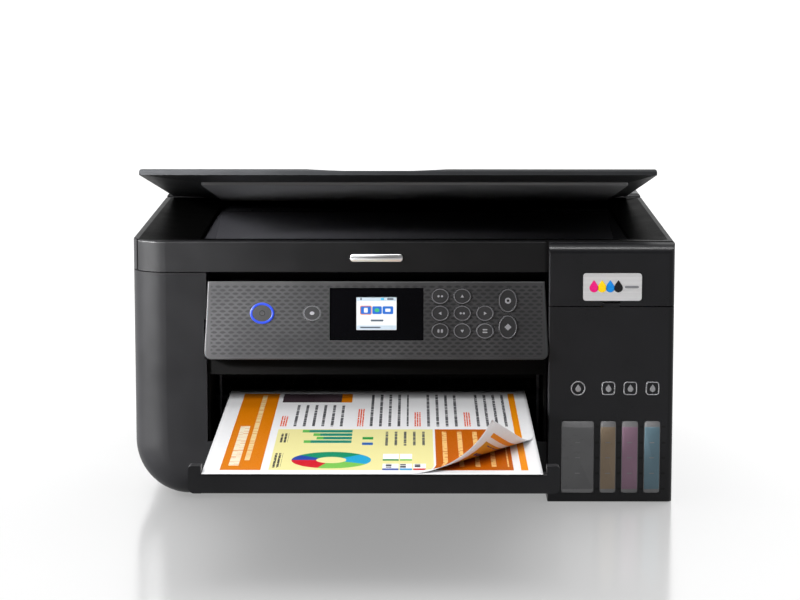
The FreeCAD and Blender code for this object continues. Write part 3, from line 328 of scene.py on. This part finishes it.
def rounded_box(width, height, radius, steps=6):
    """Corners of a rounded rectangle about the origin, going round once."""
    points = []
    for quarter, (sx, sz) in enumerate(((1, 1), (-1, 1), (-1, -1), (1, -1))):
        for i in range(steps + 1):
            angle = math.pi / 2 * (quarter + i / steps)
            points.append((sx * (width / 2 - radius) + radius * math.cos(angle),
                           sz * (height / 2 - radius) + radius * math.sin(angle)))
    return points


def drop(size, count=24):
    """An ink drop, round below and pointed above."""
    points = []
    for i in range(count):
        angle = 2 * math.pi * i / count
        pull = max(0.0, math.sin(angle)) ** 3
        points.append((size / 2 * math.cos(angle) * (1 - 0.55 * pull),
                       size / 2 * (math.sin(angle) + 0.7 * pull)))
    return points


def finish_mesh(shape, name):
    bmesh.ops.recalc_face_normals(shape, faces=shape.faces)
    mesh = bpy.data.meshes.new(name)
    shape.to_mesh(mesh)
    shape.free()
    mesh.transform(Matrix.Scale(MM, 4))
    return mesh


def slab(outline, x, z, front, back, edge=0.0):
    """A flat plate facing -Y, its outline in x and z and its front edge rounded, in mm."""
    shape = bmesh.new()
    middle = Vector((sum(p[0] for p in outline), sum(p[1] for p in outline))) / len(outline)
    rings = [(back, 0.0), (front + edge, 0.0)]
    if edge:
        rings += [(front + edge * 0.3, edge * 0.3), (front, edge)]
    loops = []
    for depth, inset in rings:
        ring = []
        for point in outline:
            away = Vector(point) - middle
            away *= (away.length - inset) / away.length
            ring.append(shape.verts.new((x + middle.x + away.x, depth, z + middle.y + away.y)))
        loops.append(ring)
    for first, second in zip(loops, loops[1:]):
        for i in range(len(outline)):
            j = (i + 1) % len(outline)
            shape.faces.new((first[i], first[j], second[j], second[i]))
    shape.faces.new(loops[-1])
    shape.faces.new(list(reversed(loops[0])))
    return finish_mesh(shape, "slab")


def bead(outline, x, z, depth, width, height, sides=8):
    """A low rounded line along a closed outline in x and z, facing -Y, in mm."""
    shape = bmesh.new()
    count = len(outline)
    rings = []
    for i in range(count):
        here = Vector(outline[i])
        along = (Vector(outline[(i + 1) % count]) - Vector(outline[i - 1])).normalized()
        out = Vector((along.y, -along.x))
        ring = []
        for k in range(sides):
            angle = 2 * math.pi * k / sides
            spot = here + out * (width / 2 * math.cos(angle))
            ring.append(shape.verts.new((x + spot.x, depth - height * math.sin(angle), z + spot.y)))
        rings.append(ring)
    for i in range(count):
        first, second = rings[i], rings[(i + 1) % count]
        for k in range(sides):
            m = (k + 1) % sides
            shape.faces.new((first[k], first[m], second[m], second[k]))
    return finish_mesh(shape, "bead")


# ---------------------------------------------------------------- materials

def panel_coordinates(tree):
    """Distance right, depth and height in the control panel's own tilted frame."""
    place = add(tree, "Mapping", add(tree, "TexCoord").outputs["Object"], PANEL_TOP, (-PANEL_LEAN, 0, 0),
                vector_type="TEXTURE")
    return add(tree, "SeparateXYZ", place.outputs[0]).outputs


def panel_material():
    """Moulded plastic with rows of lens-shaped dimples inside a plain border."""
    material = plastic("panel_shell", rgb(50, 50, 51), roughness=0.4, bump=0.05, shine=0.24)
    tree = material.node_tree
    shader = tree.nodes["Principled BSDF"]
    across, _, height = panel_coordinates(tree)
    row = maths(tree, "DIVIDE", height, PANEL_ROW * MM)
    offset = maths(tree, "MULTIPLY", maths(tree, "FLOORED_MODULO", maths(tree, "FLOOR", row), 2.0), 0.5)
    column = maths(tree, "ADD", maths(tree, "DIVIDE", across, PANEL_COLUMN * MM), offset)
    side = maths(tree, "ABSOLUTE", maths(tree, "SUBTRACT", maths(tree, "FRACT", column), 0.5))
    rise = maths(tree, "ABSOLUTE", maths(tree, "SUBTRACT", maths(tree, "FRACT", row), 0.5))
    lens = maths(tree, "SUBTRACT", 0.43, maths(tree, "MULTIPLY", maths(tree, "MULTIPLY", side, side), 2.4))
    inside = add(tree, "MapRange", maths(tree, "SUBTRACT", lens, rise), -0.04, 0.2, 0.0, 1.0).outputs[0]
    wide = maths(tree, "COMPARE", across, PANEL_MIDDLE * MM, PANEL_HALF_WIDTH * MM)
    field = maths(tree, "MULTIPLY", wide, maths(tree, "COMPARE", height, -0.027, 0.0248))
    dimple = maths(tree, "MULTIPLY", inside, field)
    plain = shader.inputs["Base Color"].links[0].from_socket
    tree.links.new(mix(tree, dimple, plain, rgb(36, 36, 37)), shader.inputs["Base Color"])
    relief(tree, shader, maths(tree, "SUBTRACT", 1.0, dimple), 0.35, 0.0002)
    return material


def frame_material():
    """The scanner unit's shell, with painted shade where it slopes down to the glass: dull near-black there.
    """
    material = plastic("frame_shell", rgb(19, 19, 20), roughness=0.42, shine=0.2)
    tree = material.node_tree
    shader = tree.nodes["Principled BSDF"]
    across, depth, height = add(tree, "SeparateXYZ", add(tree, "TexCoord").outputs["Object"]).outputs
    near, far = low("lid").y + 4 * MM, low("scanner_glass").y + 240 * MM
    sides = maths(tree, "COMPARE", across, 0.0, high("scanner_frame").x - 3.2 * MM)
    depths = maths(tree, "COMPARE", depth, (near + far) / 2, (far - near) / 2)
    below_rim = maths(tree, "LESS_THAN", height, 0.1821)
    shaded_slope = maths(tree, "MULTIPLY", maths(tree, "MULTIPLY", sides, depths), below_rim)
    plain = shader.inputs["Base Color"].links[0].from_socket
    # painted shade: the slope down to the glass is darkened to near black
    tree.links.new(mix(tree, shaded_slope, plain, rgb(8, 8, 8)), shader.inputs["Base Color"])
    rim = add(tree, "MapRange", maths(tree, "GREATER_THAN", height, 0.1815), 0.0, 1.0, 0.2, 0.04).outputs[0]
    shine = add(tree, "MapRange", shaded_slope, 0.0, 1.0, rim, 0.003).outputs[0]
    tree.links.new(shine, shader.inputs["Specular IOR Level"])
    return material


def glass_material():
    material, tree, shader = new_material("scanner_glass")
    smear = noise(tree, 9, 4.0)
    tint = mix(tree, smear, rgb(40, 40, 42), rgb(50, 50, 53))
    tree.links.new(tint, shader.inputs["Base Color"])
    tree.links.new(spread(tree, smear, 0.02, 0.05), shader.inputs["Roughness"])
    return material


def ink_material():
    """One liquid for all four tanks, coloured by where it stands across the printer."""
    material, tree, shader = new_material("ink")
    across = add(tree, "SeparateXYZ", add(tree, "TexCoord").outputs["Object"]).outputs[0]
    shade = rgb(16, 16, 17)
    for ink in ("yellow", "magenta", "cyan"):
        start = low("cap_" + ink).x - 1.2 * MM
        shade = mix(tree, maths(tree, "GREATER_THAN", across, start), shade, INKS[ink][1])
    tree.links.new(mix(tree, maths(tree, "MULTIPLY", noise(tree, 60, 2.0), 0.3), shade, rgb(16, 16, 17)),
                   shader.inputs["Base Color"])
    shader.inputs["Roughness"].default_value = 0.08
    return material


def pane_material(name, color):
    """Smoky clear plastic with the ink's colour behind it."""
    return plastic(name, color, roughness=0.32, grain=300, bump=0.04, tone=0.08, coat=0.08, shine=0.12)


def paint_printer():
    black_shell = plastic("black_shell", rgb(24, 24, 25), roughness=0.42)
    case_shell = plastic("case_shell", rgb(20, 20, 21), roughness=0.40, shine=0.16)
    tank_shell = plastic("tank_shell", rgb(24, 24, 26), roughness=0.34)
    lid_shell = plastic("lid_shell", rgb(34, 35, 37), roughness=0.5)
    # painted shade: black plastic inside the printer, much darker than the outer shell to stand for the shade
    # it sits in
    shaded_inner_black = plastic("shaded_inner_black", rgb(5, 5, 5), roughness=0.6, shine=0.08)
    engine_black = plastic("engine_black", rgb(26, 26, 28), roughness=0.5)
    tray_shell = plastic("tray_shell", rgb(33, 33, 35), roughness=0.4)
    gloss_black = plastic("gloss_black", rgb(9, 9, 11), roughness=0.1, bump=0.0, tone=0.05, coat=0.6)
    pad_foam = plastic("pad_foam", rgb(140, 140, 142), roughness=0.8, grain=500, bump=0.3, tone=0.04,
                       shine=0.1)
    button_face = plastic("button_face", rgb(42, 42, 43), roughness=0.4)
    roller_rubber = plastic("roller_rubber", rgb(58, 58, 60), roughness=0.72, grain=700, bump=0.3, tone=0.25)
    foot_rubber = plastic("foot_rubber", rgb(28, 28, 28), roughness=0.75, grain=700, bump=0.3, tone=0.25)
    plated = metal("plated", (0.62, 0.62, 0.64, 1), 0.28)
    # painted shade: the chassis steel is made dark to stand for the shade inside the printer
    shaded_steel = metal("shaded_steel", (0.10, 0.10, 0.105, 1), 0.45)
    silver = metal("badge_silver", (0.95, 0.95, 0.96, 1), 0.46, (4, 60, 900))
    white_part = plastic("white_part", rgb(205, 204, 198), roughness=0.45)
    board_green = plastic("board_green", rgb(20, 74, 42), roughness=0.3, grain=260, bump=0.2)
    paint(case_shell, "lower_case")
    paint(frame_material(), "scanner_frame")
    paint(black_shell, "rear_feeder", "feeder_guard", "paper_support", "rear_cover", "scanner_hinges")
    paint(tank_shell, "tank_case", "tank_cover")
    paint(lid_shell, "lid")
    paint(pad_foam, "lid_pad")
    paint(shaded_inner_black, "front_frame", "scanner_base", "left_guide", "right_guide", "star_wheels",
          "fill_necks")
    paint(engine_black, "platen", "maintenance_station", "print_carriage", "scan_bar", "power_supply")
    paint(tray_shell, "output_tray", "tray_extension")
    paint(gloss_black, "panel_window")
    paint(panel_material(), "control_panel")
    paint(button_face, *[name + "_button" for name in BUTTONS])
    paint(roller_rubber, "feed_roller", "exit_roller", "pickup_roller", "carriage_belt")
    paint(foot_rubber, "feet")
    paint(shaded_steel, "chassis")
    paint(plated, "print_head", "screws")
    paint(white_part, "drive_pulley", "idler_pulley")
    paint(board_green, "mainboard")
    paint(silver, "badge_plate")
    paint(glass_material(), "scanner_glass")
    paint(ink_material(), "ink_fill")
    paint(pane_material("tank_clear", rgb(78, 78, 80)), "black_tank", "color_tanks")
    for ink, (_, liquid) in INKS.items():
        paint(plastic("cap_rubber_" + ink, liquid, roughness=0.5), "cap_" + ink)


# ---------------------------------------------------------------- panel, buttons and display

def triangle(size, turn):
    """An arrow head that points up, turned by quarter turns."""
    corners = [(0, 0.6 * size), (-0.6 * size, -0.4 * size), (0.6 * size, -0.4 * size)]
    angle = turn * math.pi / 2
    return [(x * math.cos(angle) - z * math.sin(angle), x * math.sin(angle) + z * math.cos(angle))
            for x, z in corners]


def button_glyphs():
    """The generic sign on each button: outlines with their offset from its middle."""
    bar = rounded_box(3.4, 0.9, 0.4)
    dot = ellipse(1.5, 1.5, 20)
    return {
        "network": [(ellipse(3.2, 2.4, 24), 0, 0)],
        "home": [(dot, -1.2, 0), (dot, 1.2, 0)],
        "up": [(triangle(2.0, 0), 0, 0)],
        "left": [(triangle(2.0, 1), 0, 0)],
        "ok": [(dot, -1.1, 0), (dot, 1.1, 0)],
        "right": [(triangle(2.0, 3), 0, 0)],
        "help": [(rounded_box(1.4, 2.4, 0.6), -1.2, 0), (rounded_box(1.4, 2.4, 0.6), 1.2, 0)],
        "down": [(triangle(2.0, 2), 0, 0)],
        "back": [(bar, 0, 0.9), (bar, 0, -0.9)],
        "stop": [(ellipse(4.2, 4.2, 28), 0, 0)],
        "start": [([(0, 2.4), (-2.4, 0), (0, -2.4), (2.4, 0)], 0, 0)],
    }


def make_button_marks():
    ring_grey = plastic("ring_grey", rgb(84, 84, 87), roughness=0.4)
    glyph_grey = plastic("glyph_grey", rgb(122, 122, 126), roughness=0.5)
    glyph_dark = plastic("glyph_dark", rgb(20, 20, 21), roughness=0.5)
    ring_blue = glow("ring_blue", rgb(18, 70, 225), 0.75)
    face = -0.3
    for name, (x, z, width, height) in BUTTONS.items():
        if name == "power":
            around = ellipse(width + 0.6, height + 0.6, 64)
            place_piece("power_ring", bead(around, x, z, face, 1.6, 0.2), ring_blue, "panel", matrix=PANEL)
            place_piece("power_sign", bead(ellipse(3.6, 3.6, 32), x, z, face, 0.7, 0.12), glyph_dark,
                        "power_button", matrix=PANEL)
            continue
        around = ellipse(width - 1.2, height - 1.2, 64)
        place_piece(name + "_ring", bead(around, x, z, face, 0.6, 0.14), ring_grey, name + "_button",
                    matrix=PANEL)
        for number, (outline, dx, dz) in enumerate(button_glyphs()[name]):
            place_piece(f"{name}_sign_{number}", slab(outline, x + dx, z + dz, face - 0.08, face + 0.1),
                        glyph_grey, name + "_button", smooth=False, matrix=PANEL)
    x, z = BUTTONS["stop"][:2]
    place_piece("stop_dot", slab(ellipse(1.8, 1.8, 20), x, z, face - 0.14, face), glyph_dark, "stop_button",
                smooth=False, matrix=PANEL)


def make_display():
    """Plain tiles and lines in flat lit shapes, each layer just in front of the one before it."""
    border = plastic("screen_border", rgb(8, 8, 10), roughness=0.2, bump=0.0, tone=0.05)
    screen = glow("screen_white", rgb(246, 249, 252), 0.85)
    blue = glow("screen_blue", rgb(34, 108, 206), 0.9)
    pale = glow("screen_pale", rgb(206, 222, 234), 0.85)
    dark = glow("screen_dark", rgb(86, 98, 112), 0.8)
    orange = glow("screen_orange", rgb(232, 132, 70), 0.85)
    green = glow("screen_green", rgb(70, 190, 130), 0.85)
    cyan = glow("screen_cyan", rgb(70, 190, 235), 0.85)
    paint(border, "lcd_screen")
    upper_bar, tiles, lower_bar = -12.1, -19.8, -31.7
    first, second, third = -25.1, -17.4, -9.9
    layers = [
        [(rounded_box(27.7, 23.0, 0.3), PANEL_MIDDLE, -21.9, screen)],
        [
            (rounded_box(27.2, 2.8, 0.3), PANEL_MIDDLE, upper_bar, pale),
            (rounded_box(27.2, 2.8, 0.3), PANEL_MIDDLE, lower_bar, pale),
            (rounded_box(8.0, 6.2, 1.0), first, tiles, orange),
            (rounded_box(6.6, 5.4, 0.9), second, tiles, blue),
            (rounded_box(7.4, 5.4, 0.9), third, tiles, blue),
            (rounded_box(8.6, 1.3, 0.4), second, -26.9, dark),
        ],
        [
            (rounded_box(7.0, 5.2, 0.8), first, tiles, blue),
            (ellipse(3.4, 2.6, 20), second, tiles, green),
            (rounded_box(3.6, 2.2, 0.5), third, tiles, screen),
            (rounded_box(2.4, 1.5, 0.4), -13.7, upper_bar, cyan),
            (rounded_box(1.2, 1.5, 0.4), -28.4, upper_bar, dark),
            (rounded_box(4.4, 1.2, 0.4), -8.2, upper_bar, dark),
            (rounded_box(14.0, 1.0, 0.4), -22.0, lower_bar, dark),
        ],
        [(rounded_box(2.6, 3.2, 0.4), first, tiles, screen)],
    ]
    for depth, shapes in enumerate(layers):
        top = 0.07 - 0.02 * depth
        for number, (outline, x, z, material) in enumerate(shapes):
            place_piece(f"screen_{depth}_{number}", slab(outline, x, z, top, 0.15), material, "panel",
                        smooth=False, matrix=PANEL)


# ---------------------------------------------------------------- badges and tank windows

def make_badges():
    """A plain silver bar on the scanner unit and four ink drops on the tank door."""
    bar_silver = metal("bar_silver", (0.9, 0.9, 0.92, 1), 0.34, (4, 60, 900))
    front = low("scanner_frame").y / MM
    middle = (low("control_panel").x + high("control_panel").x) / 2 / MM
    place_piece("band_bar", slab(rounded_box(36, 5.2, 2.0), middle, 170.5, front - 0.5, front + 0.2, 0.3),
                bar_silver, "scanner")
    left = low("badge_plate").x / MM
    rear = low("badge_plate").y / MM
    height = (low("badge_plate").z + high("badge_plate").z) / 2 / MM
    inks = (rgb(225, 30, 120), rgb(250, 205, 20), rgb(20, 130, 215), rgb(24, 24, 26))
    for number, color in enumerate(inks):
        place_piece(f"badge_drop_{number}",
                    slab(drop(6.2), left + 7.4 + number * 5.6, height - 0.6, rear - 0.12, rear + 0.1),
                    plastic(f"badge_ink_{number}", color, roughness=0.3), "tank_door", smooth=False)
    place_piece("badge_line", slab(rounded_box(9.5, 1.6, 0.7), left + 33.4, height, rear - 0.12, rear + 0.1),
                plastic("badge_grey", rgb(120, 122, 126), roughness=0.4), "tank_door", smooth=False)


def make_tank_windows():
    """Bevelled panes over the ink, level marks, and the sign of each ink above its window."""
    rim_grey = pane_material("pane_rim", rgb(112, 112, 113))
    mark = plastic("level_mark", rgb(112, 112, 113), roughness=0.4)
    tick = plastic("dark_tick", rgb(8, 8, 8), roughness=0.6)
    sign_grey = plastic("sign_grey", rgb(126, 126, 128), roughness=0.5)
    front = low("tank_case").y / MM
    bottom, top = 6.7, 57.8
    ink_bottom, ink_top = 9.6, 53.6
    heights = (53.8, 42.5, 31.8, 20.8, 9.8)
    sign_height = 80.7
    for ink, (left, right) in WINDOWS.items():
        middle = (left + right) / 2
        width = right - left
        place_piece(f"{ink}_pane_rim",
                    slab(rounded_box(width - 0.3, top - bottom - 0.3, 2.2), middle, (top + bottom) / 2,
                         front + 0.12, front + 0.9, 0.3), rim_grey, "case")
        place_piece(f"{ink}_pane",
                    slab(rounded_box(width - 1.0, ink_top - ink_bottom, 0.5), middle,
                         (ink_top + ink_bottom) / 2, front + 0.02, front + 0.3, 0.25),
                    pane_material(f"pane_{ink}", INKS[ink][0]), "case")
        for number, height in enumerate(heights):
            place_piece(f"{ink}_tick_{number}",
                        slab(rounded_box(2.6, 1.5, 0.5), right + 2.2, height, front - 0.03, front + 0.2),
                        tick, "case", smooth=False)
            if 0 < number < 4:
                place_piece(f"{ink}_mark_{number}",
                            slab(rounded_box(3.4, 0.6, 0.25), middle, height, front - 0.04, front + 0.1),
                            mark, "case", smooth=False)
        sign = ellipse(9.4, 9.4, 40) if ink == "black" else rounded_box(8.6, 8.6, 1.8)
        place_piece(f"{ink}_sign_ring", bead(sign, middle, sign_height, front, 0.75, 0.12), sign_grey, "case")
        place_piece(f"{ink}_sign_drop", slab(drop(3.8), middle, 80.2, front - 0.1, front + 0.1), sign_grey,
                    "case", smooth=False)


# ---------------------------------------------------------------- printed sheets

def curled(u, v):
    """Where a point of the top sheet lies: its front right corner rolls up."""
    reach = (Vector((u, v)) - FOLD_START).dot(FOLD_OUT)
    if reach <= 0:
        return u, v, 0.0
    along = (Vector((u, v)) - FOLD_START).dot(FOLD_WAY)
    full = (Vector((SHEET_WIDTH, 0)) - FOLD_START).dot(FOLD_OUT)
    angle = CURL_TURN * reach / full
    spot = FOLD_START + FOLD_WAY * along + FOLD_OUT * (CURL_RADIUS * math.sin(angle))
    return spot.x, spot.y, CURL_RADIUS * (1 - math.cos(angle))


def flat(u, v):
    return u, v, 0.0


def sheet_mesh(shape_of, height, name):
    """A page as a thin closed plate: print above, back below, with its layout as UV in mm."""
    columns, rows = 84, 96
    shape = bmesh.new()
    layers = []
    for lower in (0.0, PAPER):
        grid = []
        for row in range(rows + 1):
            line = []
            for column in range(columns + 1):
                u = SHEET_WIDTH * column / columns
                v = SHEET_LENGTH * row / rows
                x, y, z = shape_of(u, v)
                line.append(shape.verts.new((SHEET_LEFT + x, SHEET_FRONT + y, height + z - lower)))
            grid.append(line)
        layers.append(grid)
    layer = shape.loops.layers.uv.new("page")

    def face(corners, places, index):
        made = shape.faces.new(corners)
        made.material_index = index
        for loop, (column, row) in zip(made.loops, places):
            loop[layer].uv = (SHEET_WIDTH * column / columns, SHEET_LENGTH * row / rows)

    for row in range(rows):
        for column in range(columns):
            places = [(column, row), (column + 1, row), (column + 1, row + 1), (column, row + 1)]
            face([layers[0][r][c] for c, r in places], places, 0)
            places.reverse()
            face([layers[1][r][c] for c, r in places], places, 1)
    border = [(c, 0) for c in range(columns)] + [(columns, r) for r in range(rows)]
    border += [(c, rows) for c in range(columns, 0, -1)] + [(0, r) for r in range(rows, 0, -1)]
    for first, second in zip(border, border[1:] + border[:1]):
        corners = [layers[0][second[1]][second[0]], layers[0][first[1]][first[0]],
                   layers[1][first[1]][first[0]], layers[1][second[1]][second[0]]]
        face(corners, [second, first, first, second], 1)
    mesh = bpy.data.meshes.new(name)
    shape.to_mesh(mesh)
    shape.free()
    mesh.transform(Matrix.Scale(MM, 4))
    return mesh


class Page:
    """Masks drawn on a page whose UV is in mm: u to the right, v from its front edge."""

    def __init__(self, tree):
        self.tree = tree
        uv = add(tree, "SeparateXYZ", add(tree, "UVMap", uv_map="page").outputs[0])
        self.u, self.v = uv.outputs[0], uv.outputs[1]

    def box(self, left, right, near, far):
        tree = self.tree
        wide = maths(tree, "COMPARE", self.u, (left + right) / 2, (right - left) / 2)
        long = maths(tree, "COMPARE", self.v, (near + far) / 2, (far - near) / 2)
        return maths(tree, "MULTIPLY", wide, long)

    def boxes(self, *spans):
        mask = self.box(*spans[0])
        for span in spans[1:]:
            mask = maths(self.tree, "MAXIMUM", mask, self.box(*span))
        return mask

    def lines(self, left, right, near, far, pitch=6.2, share=0.42):
        """Lines that stand for text and run along v, broken where words would end."""
        tree = self.tree
        phase = maths(tree, "FRACT", maths(tree, "DIVIDE", maths(tree, "SUBTRACT", self.u, left), pitch))
        stripe = maths(tree, "LESS_THAN", phase, share)
        place = add(tree, "CombineXYZ", maths(tree, "FLOOR", maths(tree, "DIVIDE", self.u, pitch)),
                    maths(tree, "MULTIPLY", self.v, 0.35)).outputs[0]
        words = maths(tree, "GREATER_THAN", add(tree, "TexNoise", place, None, 1.0, 2.0).outputs["Fac"], 0.42)
        inside = maths(tree, "MULTIPLY", self.box(left, right, near, far), stripe)
        return maths(tree, "MULTIPLY", inside, words)

    def ring(self, u, v, inner, outer):
        """A ring's mask, and the angle about its middle."""
        tree = self.tree
        du = maths(tree, "SUBTRACT", self.u, u)
        dv = maths(tree, "SUBTRACT", self.v, v)
        square = maths(tree, "ADD", maths(tree, "MULTIPLY", du, du), maths(tree, "MULTIPLY", dv, dv))
        reach = maths(tree, "SQRT", square)
        mask = maths(tree, "COMPARE", reach, (inner + outer) / 2, (outer - inner) / 2)
        turn = maths(tree, "ARCTAN2", dv, du)
        return mask, turn

    def paint(self, below, mask, color):
        return mix(self.tree, mask, below, color)


def paper_finish(tree, shader, smooth, rough):
    """The fibre of uncoated paper in gloss and relief."""
    fibre = noise(tree, 900, 3.0)
    tree.links.new(spread(tree, fibre, smooth, rough), shader.inputs["Roughness"])
    shader.inputs["Specular IOR Level"].default_value = 0.08
    relief(tree, shader, fibre, 0.08, 0.00004)


def print_material():
    """The page's front, with no readable text: a band, charts, broken lines and colour blocks."""
    material, tree, shader = new_material("page_print")
    page = Page(tree)
    orange, dark_orange, card = rgb(214, 120, 8), rgb(186, 92, 3), rgb(252, 252, 252)
    bar_depth, card_depth, chip_depth = 8.5, 18.5, 5
    color = mix(tree, noise(tree, 320), rgb(234, 234, 236), rgb(240, 240, 241))
    color = page.paint(color, page.box(10.4, 35.6, 10.7, 269), orange)
    color = page.paint(color, page.lines(15, 24, 24, 150, 9.0, 0.7), rgb(240, 228, 200))
    color = page.paint(color, page.lines(24, 33, 40, 262, 9.0, 0.36), rgb(236, 206, 150))
    color = page.paint(color, page.box(40.6, 143, 11, 140), rgb(232, 224, 156))
    wheel, turn = page.ring(78.6, 40.9, 9.5, 25)
    sectors = ((-4.0, rgb(202, 30, 44)), (-1.9, rgb(120, 190, 84)), (-0.5, rgb(34, 160, 205)),
               (0.75, rgb(22, 138, 100)), (2.5, rgb(38, 72, 160)))
    pie = sectors[0][1]
    for start, shade in sectors[1:]:
        pie = mix(tree, maths(tree, "GREATER_THAN", turn, start), pie, shade)
    color = page.paint(color, wheel, pie)
    bars = ((57, 129), (64.5, 117.5), (67, 106), (59, 94.5))
    whole = page.boxes(*[(left, 90, near, near + bar_depth) for left, near in bars])
    color = page.paint(color, whole, rgb(28, 134, 118))
    tips = page.boxes(*[(left, left + 4.5, near, near + bar_depth) for left, near in bars])
    color = page.paint(color, tips, rgb(96, 180, 84))
    color = page.paint(color, page.lines(112, 140, 86, 132, 6.0, 0.28), rgb(96, 98, 92))
    color = page.paint(color, page.lines(42.5, 47.5, 18, 62, 2.4, 0.6), rgb(70, 70, 66))
    color = page.paint(color, page.lines(43.5, 48.5, 96, 126, 2.4, 0.6), rgb(70, 70, 66))
    color = page.paint(color, page.box(97, 104, 106, 114), rgb(46, 150, 70))
    color = page.paint(color, page.box(97, 104, 88, 96), rgb(38, 96, 176))
    cards = ((111, 121), (121.8, 129.4), (130.2, 138))
    color = page.paint(color, page.boxes(*[(*sides, 11.5, 11.5 + card_depth) for sides in cards]), card)
    color = page.paint(color, page.boxes(*[(*sides, 40, 60) for sides in cards[:2]]), card)
    chips = ((cards[0], 39, rgb(40, 140, 70)), (cards[1], 39, rgb(120, 190, 90)),
             (cards[0], 11, rgb(36, 70, 160)), (cards[1], 11, rgb(30, 150, 205)),
             (cards[2], 11, rgb(200, 34, 40)))
    for (left, right), near, shade in chips:
        color = page.paint(color, page.box(left, right, near, near + chip_depth), shade)
    color = page.paint(color, page.lines(113, 137, 18, 29, 9.0, 0.4), rgb(70, 70, 76))
    headings = ((41, 45.5, 150, 186), (92.5, 97, 150, 212), (131, 135.5, 150, 200), (164.5, 169, 150, 200))
    for left, right, near, far in headings:
        color = page.paint(color, page.lines(left, right, near, far, 1.6, 0.62), rgb(226, 84, 40))
    for left, right, far in ((50, 86, 226), (101, 127, 266), (139.5, 161, 266), (173, 194, 266)):
        color = page.paint(color, page.lines(left, right, 150, far, 6.2, 0.3), rgb(84, 84, 88))
    picture = mix(tree, noise(tree, 40), rgb(38, 26, 34), rgb(92, 78, 84))
    color = page.paint(color, page.box(38.7, 87.4, 236, 268), picture)
    color = page.paint(color, page.box(80, 87.4, 236, 268), orange)
    color = page.paint(color, page.box(*WIDE_BLOCK), dark_orange)
    color = page.paint(color, page.lines(149, 190, 22, 132, 10.0, 0.3), rgb(240, 190, 120))
    color = page.paint(color, page.box(*EDGE_STRIPE), rgb(234, 140, 16))
    tree.links.new(color, shader.inputs["Base Color"])
    paper_finish(tree, shader, 0.42, 0.62)
    return material


def back_material():
    """The back of the page, where the print shows through a little."""
    material, tree, shader = new_material("page_back")
    page = Page(tree)
    color = mix(tree, noise(tree, 320), rgb(222, 222, 224), rgb(232, 232, 233))
    color = page.paint(color, page.box(*WIDE_BLOCK), rgb(206, 152, 50))
    color = page.paint(color, page.lines(150, 190, 18, 132, 13.0, 0.28), rgb(84, 76, 120))
    color = page.paint(color, page.box(*EDGE_STRIPE), rgb(224, 136, 20))
    tree.links.new(color, shader.inputs["Base Color"])
    paper_finish(tree, shader, 0.45, 0.65)
    return material


def make_sheets():
    top, back = print_material(), back_material()
    bottom = low("printed_sheet").z / MM
    for name, shape_of, height, below in (
        ("under_sheet", flat, bottom + 0.16, "tray_extension"),
        ("top_sheet", curled, bottom + 0.4, "under_sheet"),
    ):
        mesh = sheet_mesh(shape_of, height, name)
        piece = place_piece(name, mesh, top, "printed_sheet")
        mesh.materials.append(back)
        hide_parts("printed_sheet")


# ---------------------------------------------------------------- build the scene

paint_printer()
make_button_marks()
make_display()
make_badges()
make_tank_windows()
make_sheets()
make_camera()
make_floor()
make_lights()
